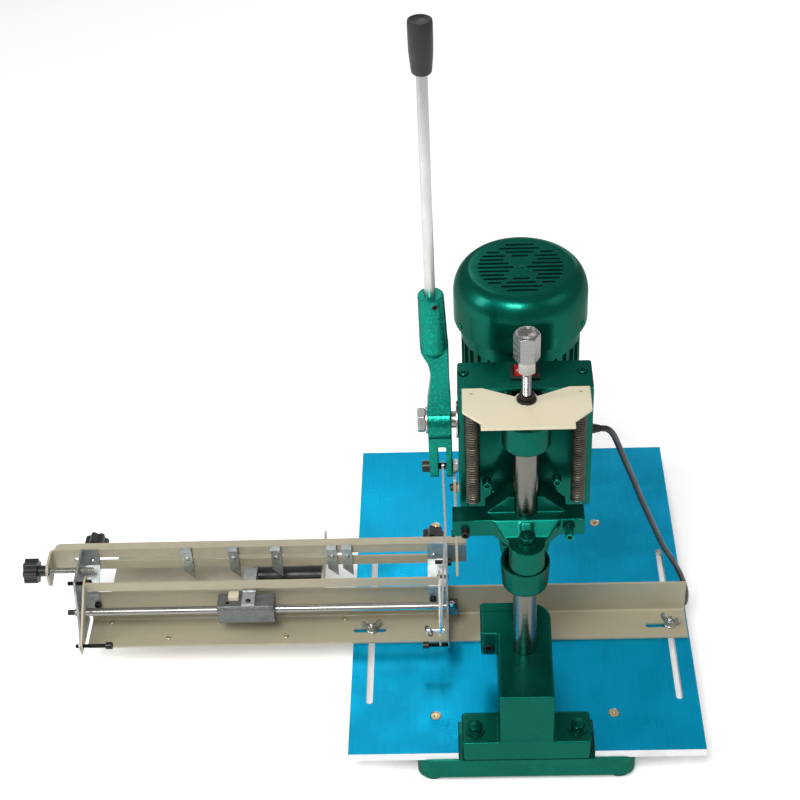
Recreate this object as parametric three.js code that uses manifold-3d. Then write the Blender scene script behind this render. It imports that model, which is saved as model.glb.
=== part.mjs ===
// Single-head paper drill with a hand lever and an indexing side gauge.
// Millimetres, +Z up. The dimensions are measured from the bench under the axis of the round column;
// the group then moves the whole machine so that its origin is the middle of its footprint.
// +X is to the right and +Y is towards the operator, as seen from behind the column.

import * as THREE from 'three';
import { mergeVertices } from 'three/addons/utils/BufferGeometryUtils.js';
import Module from 'manifold-3d';

const wasm = await Module();
wasm.setup();

// ---------------------------------------------------------------- driving dimensions
const GAP = 0.3;                    // clearance between neighbouring pieces

const BASE = { halfWidth: 129, near: -80, far: 430, bottom: 8, top: 38, wall: 11, footRadius: 15 };
const TABLE = { halfWidth: 210, near: -78, far: 462, bottom: BASE.top + GAP, top: 50 };
const NOTCH = { halfWidth: 80, far: -31 };
const TABLE_SLOT = { x: 187, near: -1, far: 256, width: 8 };

const COLUMN = { radius: 13.5, bottom: 62, top: 515.7 };
const BLOCK = {
  footHalf: 75.5, footNear: -80, footFar: -33, footTop: 69, half: 31.5, near: -77.5, far: 73, top: 145,
};
const FOOT_BOLT = { x: 60, y: -59 };
const LUG = { left: -51, near: 22.5, bottom: 107, slitY: 56.7, boltX: -41.5, boltZ: 118 };

const PLATE = {
  bottom: COLUMN.top + GAP, thickness: 3, half: 66.6, narrowHalf: 48, near: -46, shoulder: -36,
  chamferEnd: -18, far: 19.6,
};
const SPRING = { x: 56.5, y: 11, outer: 8.7, inner: 6.2, bottom: 366.3, top: PLATE.bottom - GAP };

const PINION = { y: 38.3, z: 462, module: 2.5, teeth: 22, halfFace: 7.5 };
const PITCH_RADIUS = PINION.module * PINION.teeth / 2;
const SPINDLE_Y = 162;

const HEAD = { half: 71.5, wall: 9, near: 20.6, far: 66, bottom: 350, top: 513 };
const SLEEVE = { radius: 26, bottom: 461, top: 496 };
const RING = { radius: 28, bottom: 254, top: 288 };
const YOKE = { bottom: 343.5, top: 366, near: -19, far: 5, left: -80, right: 63.5 };
const NOSE = { y: -40, radius: 19.5, bottom: 320, top: 352 };

const MOTOR = { radius: 66.5, bottom: 362, top: 522, coverRadius: 74, coverBottom: 510, coverTop: 572 };
const LEVER = { left: -103.5, right: -78.5, rodX: -96.5, socketRadius: 14.9, socketTop: 626.5 };
const CLEVIS_Z = 396;
const LINK = { x: -89.3, thickness: 3, bottom: 133, width: 14, hookX: -98.5 };

const FENCE = {
  left: -545, right: 208, near: 97, far: 147, bottom: TABLE.top + GAP, height: 50, thickness: 3,
};
const RAIL = { left: -591, right: -66, y: 176, bottom: 112, top: 146, thickness: 3 };
const ROD = { y: 115, z: 97, radius: 5, left: -556, right: -80 };
const BAIL = { y: 118, bottom: 132, top: 144, pivotY: 124, pivotZ: 139 };
const SLIDER = { left: -376, right: -305, near: 101, far: 127, bottom: 80, top: 114 };
const LOCK = { left: -538, right: -107, z: 129 };
const FEED = { y: 152, z: 134 };
const STOP_X = [-418, -359.5, -305.5, -235, -216];

const CORD_DIAMETER = 7;
const CORD_EXIT = { y: 48, z: 437 };
const CORD_ROUTE = [
  [82.5, 48, 437], [88, 48.2, 436.4], [94.5, 52.5, 428], [101, 60.5, 410], [113, 74.5, 369],
  [128.5, 92.5, 317],
  [140, 103.5, 278], [156, 119, 228], [173, 136, 175], [191, 153, 129], [204.5, 166, 90], [212, 173, 62],
  [215, 178, 44], [216.2, 184, 27], [214.8, 192, 13], [212.5, 203, 5.6], [211.3, 216, 3.9], [211, 232, 3.9],
  [210.5, 262, 3.9], [210.5, 295, 3.9], [211, 330, 3.9], [211, 366.3, 3.9],
];
const COIL = { x: 172.5, y: 390, inner: 28, outer: 42, height: 21.3 };
const PLUG = { x: 166.5, y: 300, z: 17 };

// ---------------------------------------------------------------- materials
const finish = (color, roughness, metalness) =>
  new THREE.MeshStandardMaterial({ color, roughness, metalness });
const greenPaint = finish('#0d5a48', 0.35, 0.35);
const bluePlate = finish('#0e86b8', 0.25, 0.5);
const beigePaint = finish('#c2b89a', 0.55, 0.05);
const bareSteel = finish('#b6b8b8', 0.3, 0.9);
const zincPlate = finish('#8f9a9a', 0.5, 0.7);
const blackSteel = finish('#1c1c1e', 0.45, 0.5);
const blackPlastic = finish('#141516', 0.5, 0);
const redPlastic = finish('#b3121a', 0.35, 0);
const whitePlastic = finish('#e8e4d6', 0.6, 0);

// ---------------------------------------------------------------- geometry helpers
const root = new THREE.Group();
root.position.set(204.5, -191, 0);

function solid(geometry) {
  const bare = geometry.clone();
  bare.deleteAttribute('normal');
  bare.deleteAttribute('uv');
  const merged = mergeVertices(bare, 1e-4);
  const vertProperties = new Float32Array(merged.attributes.position.array);
  const triVerts = new Uint32Array(merged.index.array);
  return new wasm.Manifold(new wasm.Mesh({ numProp: 3, vertProperties, triVerts }));
}

function toGeometry(body) {
  const mesh = body.getMesh();
  const geometry = new THREE.BufferGeometry();
  geometry.setAttribute('position', new THREE.BufferAttribute(new Float32Array(mesh.vertProperties), 3));
  geometry.setIndex(new THREE.BufferAttribute(new Uint32Array(mesh.triVerts), 1));
  return geometry;
}

function place(name, body, material) {
  const mesh = new THREE.Mesh(toGeometry(body), material);
  mesh.name = name;
  root.add(mesh);
}

// A box from its lowest to its highest corner.
function box(x0, x1, y0, y1, z0, z1) {
  const geometry = new THREE.BoxGeometry(x1 - x0, y1 - y0, z1 - z0);
  geometry.translate((x0 + x1) / 2, (y0 + y1) / 2, (z0 + z1) / 2);
  return solid(geometry);
}

// A straight round bar along an axis, between two coordinates on it; a and b are the other two, in order.
function bar(axis, from, to, a, b, radius, segments = 28, endRadius = radius) {
  const geometry = new THREE.CylinderGeometry(endRadius, radius, to - from, segments);
  if (axis === 'z') geometry.rotateX(Math.PI / 2);
  if (axis === 'x') geometry.rotateZ(-Math.PI / 2);
  const middle = (from + to) / 2;
  if (axis === 'x') geometry.translate(middle, a, b);
  if (axis === 'y') geometry.translate(a, middle, b);
  if (axis === 'z') geometry.translate(a, b, middle);
  return solid(geometry);
}

const hexBar = (axis, from, to, a, b, acrossFlats) =>
  bar(axis, from, to, a, b, acrossFlats / Math.sqrt(3), 6);

// A flat outline pushed along an axis. Points are (x, y), (y, z) or (x, z) for the axes z, x and y.
function slab(axis, from, to, points) {
  const shape = new THREE.Shape(points.map(([u, v]) => new THREE.Vector2(u, v)));
  return pushed(axis, from, to, shape);
}

function pushed(axis, from, to, shape, curveSegments = 8) {
  const geometry = new THREE.ExtrudeGeometry(shape,
    { depth: to - from, bevelEnabled: false, curveSegments });
  geometry.translate(0, 0, from);
  const basis = new THREE.Matrix4();
  if (axis === 'x') basis.set(0, 0, 1, 0, 1, 0, 0, 0, 0, 1, 0, 0, 0, 0, 0, 1);
  if (axis === 'y') basis.set(1, 0, 0, 0, 0, 0, -1, 0, 0, 1, 0, 0, 0, 0, 0, 1);
  if (axis === 'y') geometry.translate(0, 0, -from - to);
  geometry.applyMatrix4(basis);
  return solid(geometry);
}

// A turned shape: (radius, height) pairs that start and end on the axis, turned about an upright line.
function turned(points, x, y, segments = 40) {
  const geometry = new THREE.LatheGeometry(points.map(([r, z]) => new THREE.Vector2(r, z)), segments);
  geometry.rotateX(Math.PI / 2);
  geometry.translate(x, y, 0);
  return solid(geometry);
}

const roundSlot = (x0, x1, y0, y1, z0, z1) => {
  const alongX = x1 - x0 > y1 - y0;
  const r = alongX ? (y1 - y0) / 2 : (x1 - x0) / 2;
  const first = alongX ? bar('z', z0, z1, x0 + r, y0 + r, r, 16) : bar('z', z0, z1, x0 + r, y0 + r, r, 16);
  const last = alongX ? bar('z', z0, z1, x1 - r, y0 + r, r, 16) : bar('z', z0, z1, x0 + r, y1 - r, r, 16);
  const middle = alongX ? box(x0 + r, x1 - r, y0, y1, z0, z1) : box(x0, x1, y0 + r, y1 - r, z0, z1);
  return middle.add(first).add(last);
};

// A socket-head screw along an axis; the head sits at headAt and the shank runs to tip.
function socketScrew(axis, headAt, tip, a, b, shank) {
  const sign = Math.sign(tip - headAt);
  const headEnd = headAt + sign * shank * 2;
  const head = bar(axis, Math.min(headAt, headEnd), Math.max(headAt, headEnd), a, b, shank * 1.6, 20);
  const socketEnd = headAt + sign * shank;
  const socket = hexBar(axis, Math.min(headAt - sign, socketEnd), Math.max(headAt - sign, socketEnd), a, b,
    shank * 1.5);
  const body = bar(axis, Math.min(headAt, tip), Math.max(headAt, tip), a, b, shank, 16);
  return head.add(body).subtract(socket);
}

// ---------------------------------------------------------------- base and table
function buildBase() {
  const b = BASE;
  let body = box(-b.halfWidth, b.halfWidth, b.near, b.far, b.bottom, b.top);
  const rib = 7;
  const middleY = (b.near + b.far) / 2;
  const pocket = (y0, y1) => box(-b.halfWidth + b.wall, b.halfWidth - b.wall, y0, y1, b.bottom - 1,
    b.top - 9);
  body = body.subtract(pocket(BLOCK.footFar + 12, middleY - rib / 2));
  body = body.subtract(pocket(middleY + rib / 2, b.far - b.wall));
  for (const x of [-1, 1]) {
    for (const y of [b.near + 19, b.far - 19]) {
      body = body.add(bar('z', 0, b.bottom + 1, x * (b.halfWidth - 19), y, b.footRadius, 24,
        b.footRadius + 2));
    }
    body = body.subtract(bar('z', b.bottom - 1, b.top + 1, x * FOOT_BOLT.x, FOOT_BOLT.y, 5.3, 16));
  }
  place('base', body, greenPaint);
}

function buildTable() {
  const t = TABLE;
  let body = box(-t.halfWidth, t.halfWidth, t.near, t.far, t.bottom, t.top);
  body = body.subtract(box(-NOTCH.halfWidth, NOTCH.halfWidth, t.near - 1, NOTCH.far, t.bottom - 1,
    t.top + 1));
  for (const side of [-1, 1]) {
    const x = side * TABLE_SLOT.x;
    const half = TABLE_SLOT.width / 2;
    body = body.subtract(roundSlot(x - half, x + half, TABLE_SLOT.near, TABLE_SLOT.far, t.bottom - 1,
      t.top + 1));
  }
  body = body.subtract(bar('z', t.top - 6, t.top + 1, 0, SPINDLE_Y, 25 + GAP, 36));
  place('table', body, bluePlate);
  place('cutting_pad', bar('z', t.top - 6 + GAP, t.top - 0.1, 0, SPINDLE_Y, 25, 36), whitePlastic);
}

// ---------------------------------------------------------------- column, its block and the spring plate
function buildColumnBlock() {
  const b = BLOCK;
  const foot = box(-b.footHalf, b.footHalf, b.footNear, b.footFar, BASE.top + GAP, b.footTop);
  const upright = box(-b.half, b.half, b.near, b.footFar, BASE.top + GAP, b.top);
  const corner = 26;
  const shape = new THREE.Shape();
  shape.moveTo(-b.half, b.footFar - 1);
  shape.lineTo(b.half, b.footFar - 1);
  shape.lineTo(b.half + 1.5, b.far - corner);
  shape.absarc(b.half + 1.5 - corner, b.far - corner, corner, 0, Math.PI / 2, false);
  shape.lineTo(LUG.left + 20, b.far);
  shape.lineTo(-b.half, b.far);
  const reach = pushed('z', TABLE.top + 2.5, b.top, shape, 10);
  let body = foot.add(upright).add(reach);
  body = body.add(box(LUG.left, -b.half + 2, LUG.near, b.far, LUG.bottom, b.top));
  body = body.subtract(bar('z', COLUMN.bottom - GAP, b.top + 1, 0, 0, COLUMN.radius + GAP, 36));
  const slit = 1.2;
  const top = b.top + 1;
  body = body.subtract(box(LUG.left - 1, slit, LUG.slitY - slit, LUG.slitY + slit, LUG.bottom - 1, top));
  body = body.subtract(box(-slit, slit, 5, LUG.slitY, LUG.bottom - 1, top));
  body = body.subtract(bar('y', LUG.near - 1, b.far + 1, LUG.boltX, LUG.boltZ, 4.4, 16));
  body = body.subtract(bar('y', LUG.near - 1, LUG.near + 9, LUG.boltX, LUG.boltZ, 7.2, 20));
  for (const side of [-1, 1]) {
    body = body.subtract(bar('z', BASE.top, b.footTop + 1, side * FOOT_BOLT.x, FOOT_BOLT.y, 5.4, 16));
  }
  place('column_block', body, greenPaint);
  place('clamp_bolt', socketScrew('y', LUG.near + 0.7, b.far - 1, LUG.boltX, LUG.boltZ, 4), blackSteel);
  for (const [name, side] of [['left', -1], ['right', 1]]) {
    const x = side * FOOT_BOLT.x;
    const washer = 2;
    const seat = b.footTop + washer + 0.2;
    const bolt = hexBar('z', seat, seat + 7, x, FOOT_BOLT.y, 17)
      .add(bar('z', BASE.bottom + 3, seat + 1, x, FOOT_BOLT.y, 5, 16));
    place(`foot_bolt_${name}`, bolt, greenPaint);
  }
}

// Straight-flanked rack teeth cut into the far side of the column.
function rackCutter() {
  const m = PINION.module;
  const pitch = Math.PI * m;
  const pitchLine = PINION.y - PITCH_RADIUS;
  const tip = pitchLine + 0.8 * m;
  const rootLine = pitchLine - 1.1 * m;
  const slope = Math.tan(THREE.MathUtils.degToRad(20));
  const halfGap = pitch * 0.29;
  const bottom = PINION.z - 0.055e3 - 3 * pitch;
  const top = PINION.z + 3 * pitch;
  let cut = box(-20, 20, tip, 30, bottom - pitch, top + pitch);
  const teeth = Math.round((top - bottom) / pitch);
  for (let i = 0; i <= teeth; i += 1) {
    const z = PINION.z + (i - Math.round(teeth * 0.72)) * pitch;
    const atTip = halfGap + (tip - pitchLine) * slope;
    const atRoot = halfGap - (pitchLine - rootLine) * slope;
    const outline = [
      [rootLine, z - atRoot], [tip + 1, z - atTip - slope], [tip + 1, z + atTip + slope],
      [rootLine, z + atRoot],
    ];
    cut = cut.add(slab('x', -20, 20, outline));
  }
  return cut;
}

function buildColumn() {
  let body = bar('z', COLUMN.bottom, COLUMN.top, 0, 0, COLUMN.radius, 40);
  body = body.subtract(bar('z', COLUMN.top - 42, COLUMN.top + 1, 0, 0, 5 + GAP, 20));
  place('column', body.subtract(rackCutter()), bareSteel);
}

function buildSpringPlate() {
  const p = PLATE;
  const vHalf = 45;
  const vTip = 11;
  const tipY = 4;
  const outline = [
    [-p.narrowHalf, p.near], [p.narrowHalf, p.near], [p.narrowHalf, p.shoulder], [p.half, p.chamferEnd],
    [p.half, p.far],
    [vHalf, p.far], [vTip, tipY], [-vTip, tipY], [-vHalf, p.far], [-p.half, p.far], [-p.half, p.chamferEnd],
    [-p.narrowHalf, p.shoulder],
  ];
  const top = p.bottom + p.thickness;
  let body = slab('z', p.bottom, top, outline).add(bar('z', p.bottom, top, 0, 0, 12.5, 28));
  body = body.subtract(bar('z', p.bottom - 1, top + 1, 0, 0, 5 + GAP, 20));
  place('spring_plate', body, beigePaint);

  const stud = bar('z', COLUMN.top - 40, 601, 0, 0, 5, 20);
  place('top_stud', stud, bareSteel);
  const ring = (name, from, to, acrossFlats, material, flange = 0) => {
    let nut = hexBar('z', from, to, 0, 0, acrossFlats);
    if (flange) nut = nut.add(bar('z', from, from + 2, 0, 0, flange, 24));
    place(name, nut.subtract(bar('z', from - 1, to + 1, 0, 0, 5 + GAP, 20)), material);
  };
  ring('plate_nut', top + GAP, top + 8, 15, blackSteel, 9);
  ring('lock_nut', 556, 572, 17, bareSteel);
  const cap = hexBar('z', 572.4, 604, 0, 0, 24).subtract(bar('z', 571, 601.5, 0, 0, 5 + GAP, 20));
  const chamfer = turned([[0, 570], [14.2, 570], [14.2, 600], [11, 604.2], [0, 604.2]], 0, 0, 24);
  place('long_nut', cap.intersect(chamfer), bareSteel);
}

// ---------------------------------------------------------------- head casting, yoke and springs
function buildHead() {
  const h = HEAD;
  const inner = h.half - h.wall;
  const web = { near: 44, far: 54 };
  let body = bar('z', SLEEVE.bottom, SLEEVE.top, 0, 0, SLEEVE.radius, 36);
  body = body.add(box(-17, 17, 8, web.far, SLEEVE.bottom, SLEEVE.top));
  body = body.add(box(-inner - 1, inner + 1, web.near, web.far, 300, SLEEVE.top));
  for (const side of [-1, 1]) {
    const x0 = side < 0 ? -h.half : inner;
    body = body.add(box(x0, x0 + h.wall, h.near, h.far, h.bottom, h.top));
  }
  body = body.add(box(-inner - 1, inner + 1, web.near, SPINDLE_Y, h.bottom, h.bottom + 11));
  body = body.add(bar('z', h.bottom, h.bottom + 11, 0, SPINDLE_Y, 70, 40));
  body = body.add(slab('y', 22, web.far,
    [[-24, RING.bottom + 4], [24, RING.bottom + 4], [36, h.bottom + 1], [-36, h.bottom + 1]]));
  body = body.add(bar('z', RING.bottom, RING.top, 0, 0, RING.radius - 2, 36, RING.radius));
  body = body.add(box(-22, 22, 10, 40, RING.bottom + 2, RING.top - 2));
  body = body.add(bar('z', 214, h.bottom + 1, 0, SPINDLE_Y, 27, 32, 34));
  body = body.add(slab('x', -8, 8,
    [[50, 262], [SPINDLE_Y - 20, 230], [SPINDLE_Y, h.bottom + 2], [50, h.bottom + 2]]));
  const bore = COLUMN.radius + GAP + 0.05;
  body = body.subtract(bar('z', RING.bottom - 1, SLEEVE.top + 1, 0, 0, bore, 40));
  body = body.subtract(bar('z', RING.bottom + 14, RING.top + 1, 0, 0, 22.5, 36));
  body = body.subtract(bar('z', 200, h.bottom + 20, 0, SPINDLE_Y, 15.5, 32));
  body = body.subtract(bar('x', -PINION.halfFace - 1.5, PINION.halfFace + 1.5, PINION.y, PINION.z,
    PITCH_RADIUS + 4, 40));
  body = body.subtract(box(-9, 9, 9, PINION.y, PINION.z - 26, PINION.z + 29));
  body = body.subtract(bar('x', -h.half - 1, h.half + 1, PINION.y, PINION.z, 9 + GAP, 28));
  body = body.subtract(bar('x', inner - 3, h.half + 1, CORD_EXIT.y, CORD_EXIT.z, 6 + GAP, 20));
  place('head_casting', body, greenPaint);
}

function buildYoke() {
  const y = YOKE;
  const hub = 27;
  const tongue = 17;
  const shape = new THREE.Shape();
  shape.moveTo(y.left, y.near);
  shape.lineTo(-hub - 9, y.near);
  shape.lineTo(-tongue, NOSE.y);
  shape.lineTo(tongue, NOSE.y);
  shape.lineTo(hub + 9, y.near);
  shape.lineTo(y.right, y.near);
  shape.lineTo(y.right, y.far);
  shape.lineTo(hub, y.far);
  shape.lineTo(hub - 6, 21);
  shape.lineTo(-hub + 6, 21);
  shape.lineTo(-hub, y.far);
  shape.lineTo(y.left, y.far);
  let body = pushed('z', y.bottom, y.top, shape);
  const slope = slab('x', -60, 60,
    [[-18, y.top + 0.5], [NOSE.y - 30, y.top + 0.5], [NOSE.y - 30, NOSE.top], [NOSE.y + 8, NOSE.top]]);
  body = body.subtract(slope);
  body = body.add(bar('z', NOSE.bottom, NOSE.top, 0, NOSE.y, NOSE.radius, 36));
  const skirt = y.top + 22;
  body = body.add(slab('y', -6, 19, [[-44, y.top - 1], [-19, skirt], [19, skirt], [44, y.top - 1]]));
  body = body.subtract(bar('z', y.bottom - 30, skirt + 1, 0, 0, COLUMN.radius + GAP + 0.05, 40));
  body = body.subtract(bar('z', NOSE.bottom + 6, NOSE.top + 1, 0, NOSE.y, 5 + GAP, 16));
  body = body.subtract(box(-hub, hub, 20.3, 30, y.bottom - 1, y.top + 1));
  place('yoke', body, greenPaint);
  const washers = 5;
  const seat = NOSE.top + washers + 0.2;
  const bolt = hexBar('z', seat, seat + 7, 0, NOSE.y, 17)
    .add(bar('z', NOSE.bottom + 8, seat + 1, 0, NOSE.y, 5, 16));
  place('nose_bolt', bolt, greenPaint);
}

// Close-wound extension springs, as plain sleeves of the coil's size.
function buildSprings() {
  for (const [name, side] of [['left', -1], ['right', 1]]) {
    const s = SPRING;
    const x = side * s.x;
    const body = bar('z', s.bottom, s.top, x, s.y, s.outer, 16)
      .subtract(bar('z', s.bottom - 1, s.top + 1, x, s.y, s.inner, 16));
    place(`spring_${name}`, body, blackSteel);
  }
}

// ---------------------------------------------------------------- switch cover
function buildSwitchCover() {
  const bottom = HEAD.top + GAP;
  const top = bottom + 3.7;
  const cover = { near: 20.2, far: 66, rockerY: 47.4 };
  let body = box(-HEAD.half + 0.5, HEAD.half - 0.5, cover.near, cover.far, bottom, top);
  body = body.subtract(box(-14, 14, cover.rockerY - 11, cover.rockerY + 11, bottom - 1, top + 1));
  place('switch_cover', body, greenPaint);
  const rim = box(-15.7, 15.7, cover.rockerY - 12.7, cover.rockerY + 12.7, top + GAP, top + 2.2);
  const barrel = box(-13.7, 13.7, cover.rockerY - 10.7, cover.rockerY + 10.7, top - 16, top + 1);
  let bezel = rim.add(barrel);
  bezel = bezel.subtract(box(-11.9, 11.9, cover.rockerY - 8.9, cover.rockerY + 8.9, top - 8, top + 3));
  place('rocker_bezel', bezel, blackPlastic);
  const profile = [
    [-11, top - 2.5], [0, top - 6], [11, top - 2.5], [11, top + 4.2], [0, top + 1.6], [-11, top + 1.6],
  ];
  place('rocker', slab('y', cover.rockerY - 8.4, cover.rockerY + 8.4, profile), redPlastic);
}

// ---------------------------------------------------------------- motor and spindle
function buildMotor() {
  const m = MOTOR;
  const finCount = 16;
  let body = bar('z', m.bottom, m.top, 0, SPINDLE_Y, m.radius - 3, 40);
  for (let i = 0; i < finCount; i += 1) {
    const fin = new THREE.BoxGeometry(3.2, 7, m.coverBottom - m.bottom - 46);
    fin.translate(0, m.radius - 3.6, (m.coverBottom + m.bottom) / 2);
    fin.rotateZ(2 * Math.PI * (i + 0.5) / finCount);
    fin.translate(0, SPINDLE_Y, 0);
    body = body.add(solid(fin));
  }
  body = body.add(bar('z', m.bottom, m.bottom + 22, 0, SPINDLE_Y, m.radius, 40));
  body = body.add(bar('z', m.coverBottom - 22, m.top, 0, SPINDLE_Y, m.radius, 40));
  body = body.subtract(bar('z', m.bottom - 1, m.top + 1, 0, SPINDLE_Y, 8.5, 24));
  place('motor_body', body, greenPaint);

  const r = m.coverRadius;
  const wall = 2.2;
  const shoulder = { across: 20, rise: 30 };
  const profile = [[m.radius + GAP, m.coverBottom], [r, m.coverBottom], [r, m.coverTop - shoulder.rise]];
  const steps = 6;
  for (let i = 1; i <= steps; i += 1) {
    const a = (Math.PI / 2) * (i / steps);
    const reach = r - shoulder.across * (1 - Math.cos(a));
    profile.push([reach, m.coverTop - shoulder.rise * (1 - Math.sin(a))]);
  }
  profile.push([0, m.coverTop], [0, m.coverTop - wall]);
  for (let i = steps; i >= 0; i -= 1) {
    const a = (Math.PI / 2) * (i / steps);
    const reach = r - shoulder.across + (shoulder.across - wall) * Math.cos(a);
    profile.push([reach, m.coverTop - shoulder.rise + (shoulder.rise - wall) * Math.sin(a)]);
  }
  profile.push([r - wall, m.coverBottom + 3], [m.radius + GAP, m.coverBottom + 3],
    [m.radius + GAP, m.coverBottom]);
  let cover = turned(profile, 0, SPINDLE_Y, 40);
  const ventRadius = 46;
  const rows = 10;
  for (let i = 0; i < rows; i += 1) {
    const v = (i + 0.5 - rows / 2) * (2 * ventRadius / rows);
    const reach = Math.sqrt(ventRadius * ventRadius - v * v);
    const plain = 8 + Math.abs(v) * 0.25;
    if (reach - plain < 6) continue;
    for (const side of [-1, 1]) {
      const x0 = side < 0 ? -reach : plain;
      const y = SPINDLE_Y + v;
      cover = cover.subtract(box(x0, x0 + reach - plain, y - 1.3, y + 1.3, m.coverTop - 8, m.coverTop + 1));
    }
  }
  place('fan_cover', cover, greenPaint);
}

function buildSpindle() {
  const shaft = bar('z', 205, 548, 0, SPINDLE_Y, 8, 24).add(bar('z', 222, 330, 0, SPINDLE_Y, 14, 28));
  place('spindle_shaft', shaft.subtract(bar('z', 200, 226, 0, SPINDLE_Y, 4.5, 16)), bareSteel);
  const chuck = turned([[0, 168], [9, 168], [16, 180], [16, 204.5], [0, 204.5]], 0, SPINDLE_Y, 28);
  place('drill_chuck', chuck.subtract(bar('z', 160, 210, 0, SPINDLE_Y, 4 + GAP, 16)), bareSteel);
  const drill = bar('z', 105.5, 222, 0, SPINDLE_Y, 4, 20)
    .subtract(bar('z', 100, 230, 0, SPINDLE_Y, 2.6, 16));
  place('hollow_drill', drill, bareSteel);
  const blades = 6;
  let fan = bar('z', 526, 546, 0, SPINDLE_Y, 15, 24);
  fan = fan.add(bar('z', 526, 528.5, 0, SPINDLE_Y, 56, 32));
  for (let i = 0; i < blades; i += 1) {
    const blade = new THREE.BoxGeometry(2.2, 46, 19);
    blade.translate(0, 34, 537);
    blade.rotateZ(2 * Math.PI * i / blades);
    blade.translate(0, SPINDLE_Y, 0);
    fan = fan.add(solid(blade));
  }
  place('cooling_fan', fan.subtract(bar('z', 520, 550, 0, SPINDLE_Y, 8 + GAP, 24)), blackPlastic);
}

// ---------------------------------------------------------------- lever, pinion and link
// One side of an involute tooth, from the root to the tip, as (radius, half angle) pairs.
function toothFlank() {
  const m = PINION.module;
  const pressure = THREE.MathUtils.degToRad(20);
  const baseRadius = PITCH_RADIUS * Math.cos(pressure);
  const rootRadius = PITCH_RADIUS - 1.15 * m;
  const tipRadius = PITCH_RADIUS + 0.8 * m;
  const involute = (angle) => Math.tan(angle) - angle;
  const halfAtPitch = (Math.PI / PINION.teeth / 2) * 0.84;
  const flank = [[rootRadius, halfAtPitch + involute(pressure)]];
  const steps = 2;
  for (let i = 0; i <= steps; i += 1) {
    const radius = baseRadius + (tipRadius - baseRadius) * (i / steps);
    const angle = Math.acos(baseRadius / radius);
    flank.push([radius, halfAtPitch + involute(pressure) - involute(angle)]);
  }
  return flank;
}

function pinionOutline() {
  const flank = toothFlank();
  const points = [];
  for (let tooth = 0; tooth < PINION.teeth; tooth += 1) {
    const middle = Math.PI + 2 * Math.PI * tooth / PINION.teeth;
    const at = (radius, angle) =>
      [PINION.y + radius * Math.cos(angle), PINION.z + radius * Math.sin(angle)];
    flank.forEach(([radius, half]) => points.push(at(radius, middle - half)));
    [...flank].reverse().forEach(([radius, half]) => points.push(at(radius, middle + half)));
  }
  return points;
}

function buildPinionShaft() {
  let body = slab('x', -PINION.halfFace, PINION.halfFace, pinionOutline());
  body = body.add(bar('x', LEVER.left + 1, HEAD.half + 4, PINION.y, PINION.z, 9, 24));
  body = body.subtract(bar('x', -110, -82, PINION.y, PINION.z, 5 + GAP, 16));
  place('pinion_shaft', body, bareSteel);
  const washerEnd = LEVER.left - GAP;
  const bolt = hexBar('x', washerEnd - 11, washerEnd, PINION.y, PINION.z, 24);
  place('pivot_bolt', bolt.add(bar('x', washerEnd - 1, -84, PINION.y, PINION.z, 5, 16)), bareSteel);
}

function buildLever() {
  const l = LEVER;
  const half = 21;
  const fork = 12;
  const side = new THREE.Shape();
  side.absarc(PINION.y, CLEVIS_Z, fork, Math.PI * 1.05, Math.PI * 1.95, false);
  side.lineTo(PINION.y + 14, 430);
  side.absarc(PINION.y, PINION.z, half, -0.7, 0.9, false);
  side.lineTo(PINION.y + 10, 500);
  side.lineTo(PINION.y + 11, 562);
  side.lineTo(PINION.y - 11, 562);
  side.lineTo(PINION.y - 10, 500);
  side.absarc(PINION.y, PINION.z, half, Math.PI - 0.9, Math.PI + 0.7, false);
  let body = pushed('x', l.left - 10, l.right + 1, side, 6);
  const front = [
    [l.left, 370], [l.right, 370], [l.right, 490], [l.right - 0.8, 512], [l.right - 0.8, 562],
    [l.rodX - 12, 562],
    [l.rodX - 9, 554], [l.rodX - 4.5, 545], [l.rodX - 2, 530], [l.rodX - 3.5, 512], [l.left, 487],
  ];
  body = body.intersect(slab('y', -20, 90, front));
  const r = l.socketRadius;
  const socket = turned([[0, 545], [8, 547], [r, 560], [r - 1.5, l.socketTop], [0, l.socketTop]], 0,
    PINION.y, 28);
  const lean = 0.026;
  body = body.add(socket.warp((v) => { v[0] += l.rodX + 0.7 + lean * (l.socketTop - v[2]); }));
  body = body.subtract(bar('z', 560, 630, l.rodX, PINION.y, 5.5 + GAP, 20));
  const slot = LINK.thickness / 2 + 2.3;
  body = body.subtract(box(LINK.x - slot, LINK.x + slot, PINION.y - 30, PINION.y + 30, 300, 435));
  body = body.subtract(bar('x', -120, -70, PINION.y, CLEVIS_Z, 4 + GAP, 16));
  body = body.subtract(bar('x', -120, -70, PINION.y, PINION.z, 9 + GAP, 24));
  body = body.subtract(bar('y', 0, PINION.y, l.rodX + 5, 619, 3, 12));
  place('lever_casting', body, greenPaint);
  place('lever_rod', bar('z', 561, 915, l.rodX, PINION.y, 5.5, 20), bareSteel);
  const gripProfile = [
    [0, 876], [9.4, 876], [9.9, 878], [11.5, 897], [11.8, 921], [11.6, 927.5], [10.8, 929], [0, 929],
  ];
  const grip = turned(gripProfile, l.rodX, PINION.y, 24);
  place('lever_grip', grip.subtract(bar('z', 850, 916, l.rodX, PINION.y, 5.5 + GAP, 20)), blackPlastic);
}

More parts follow.
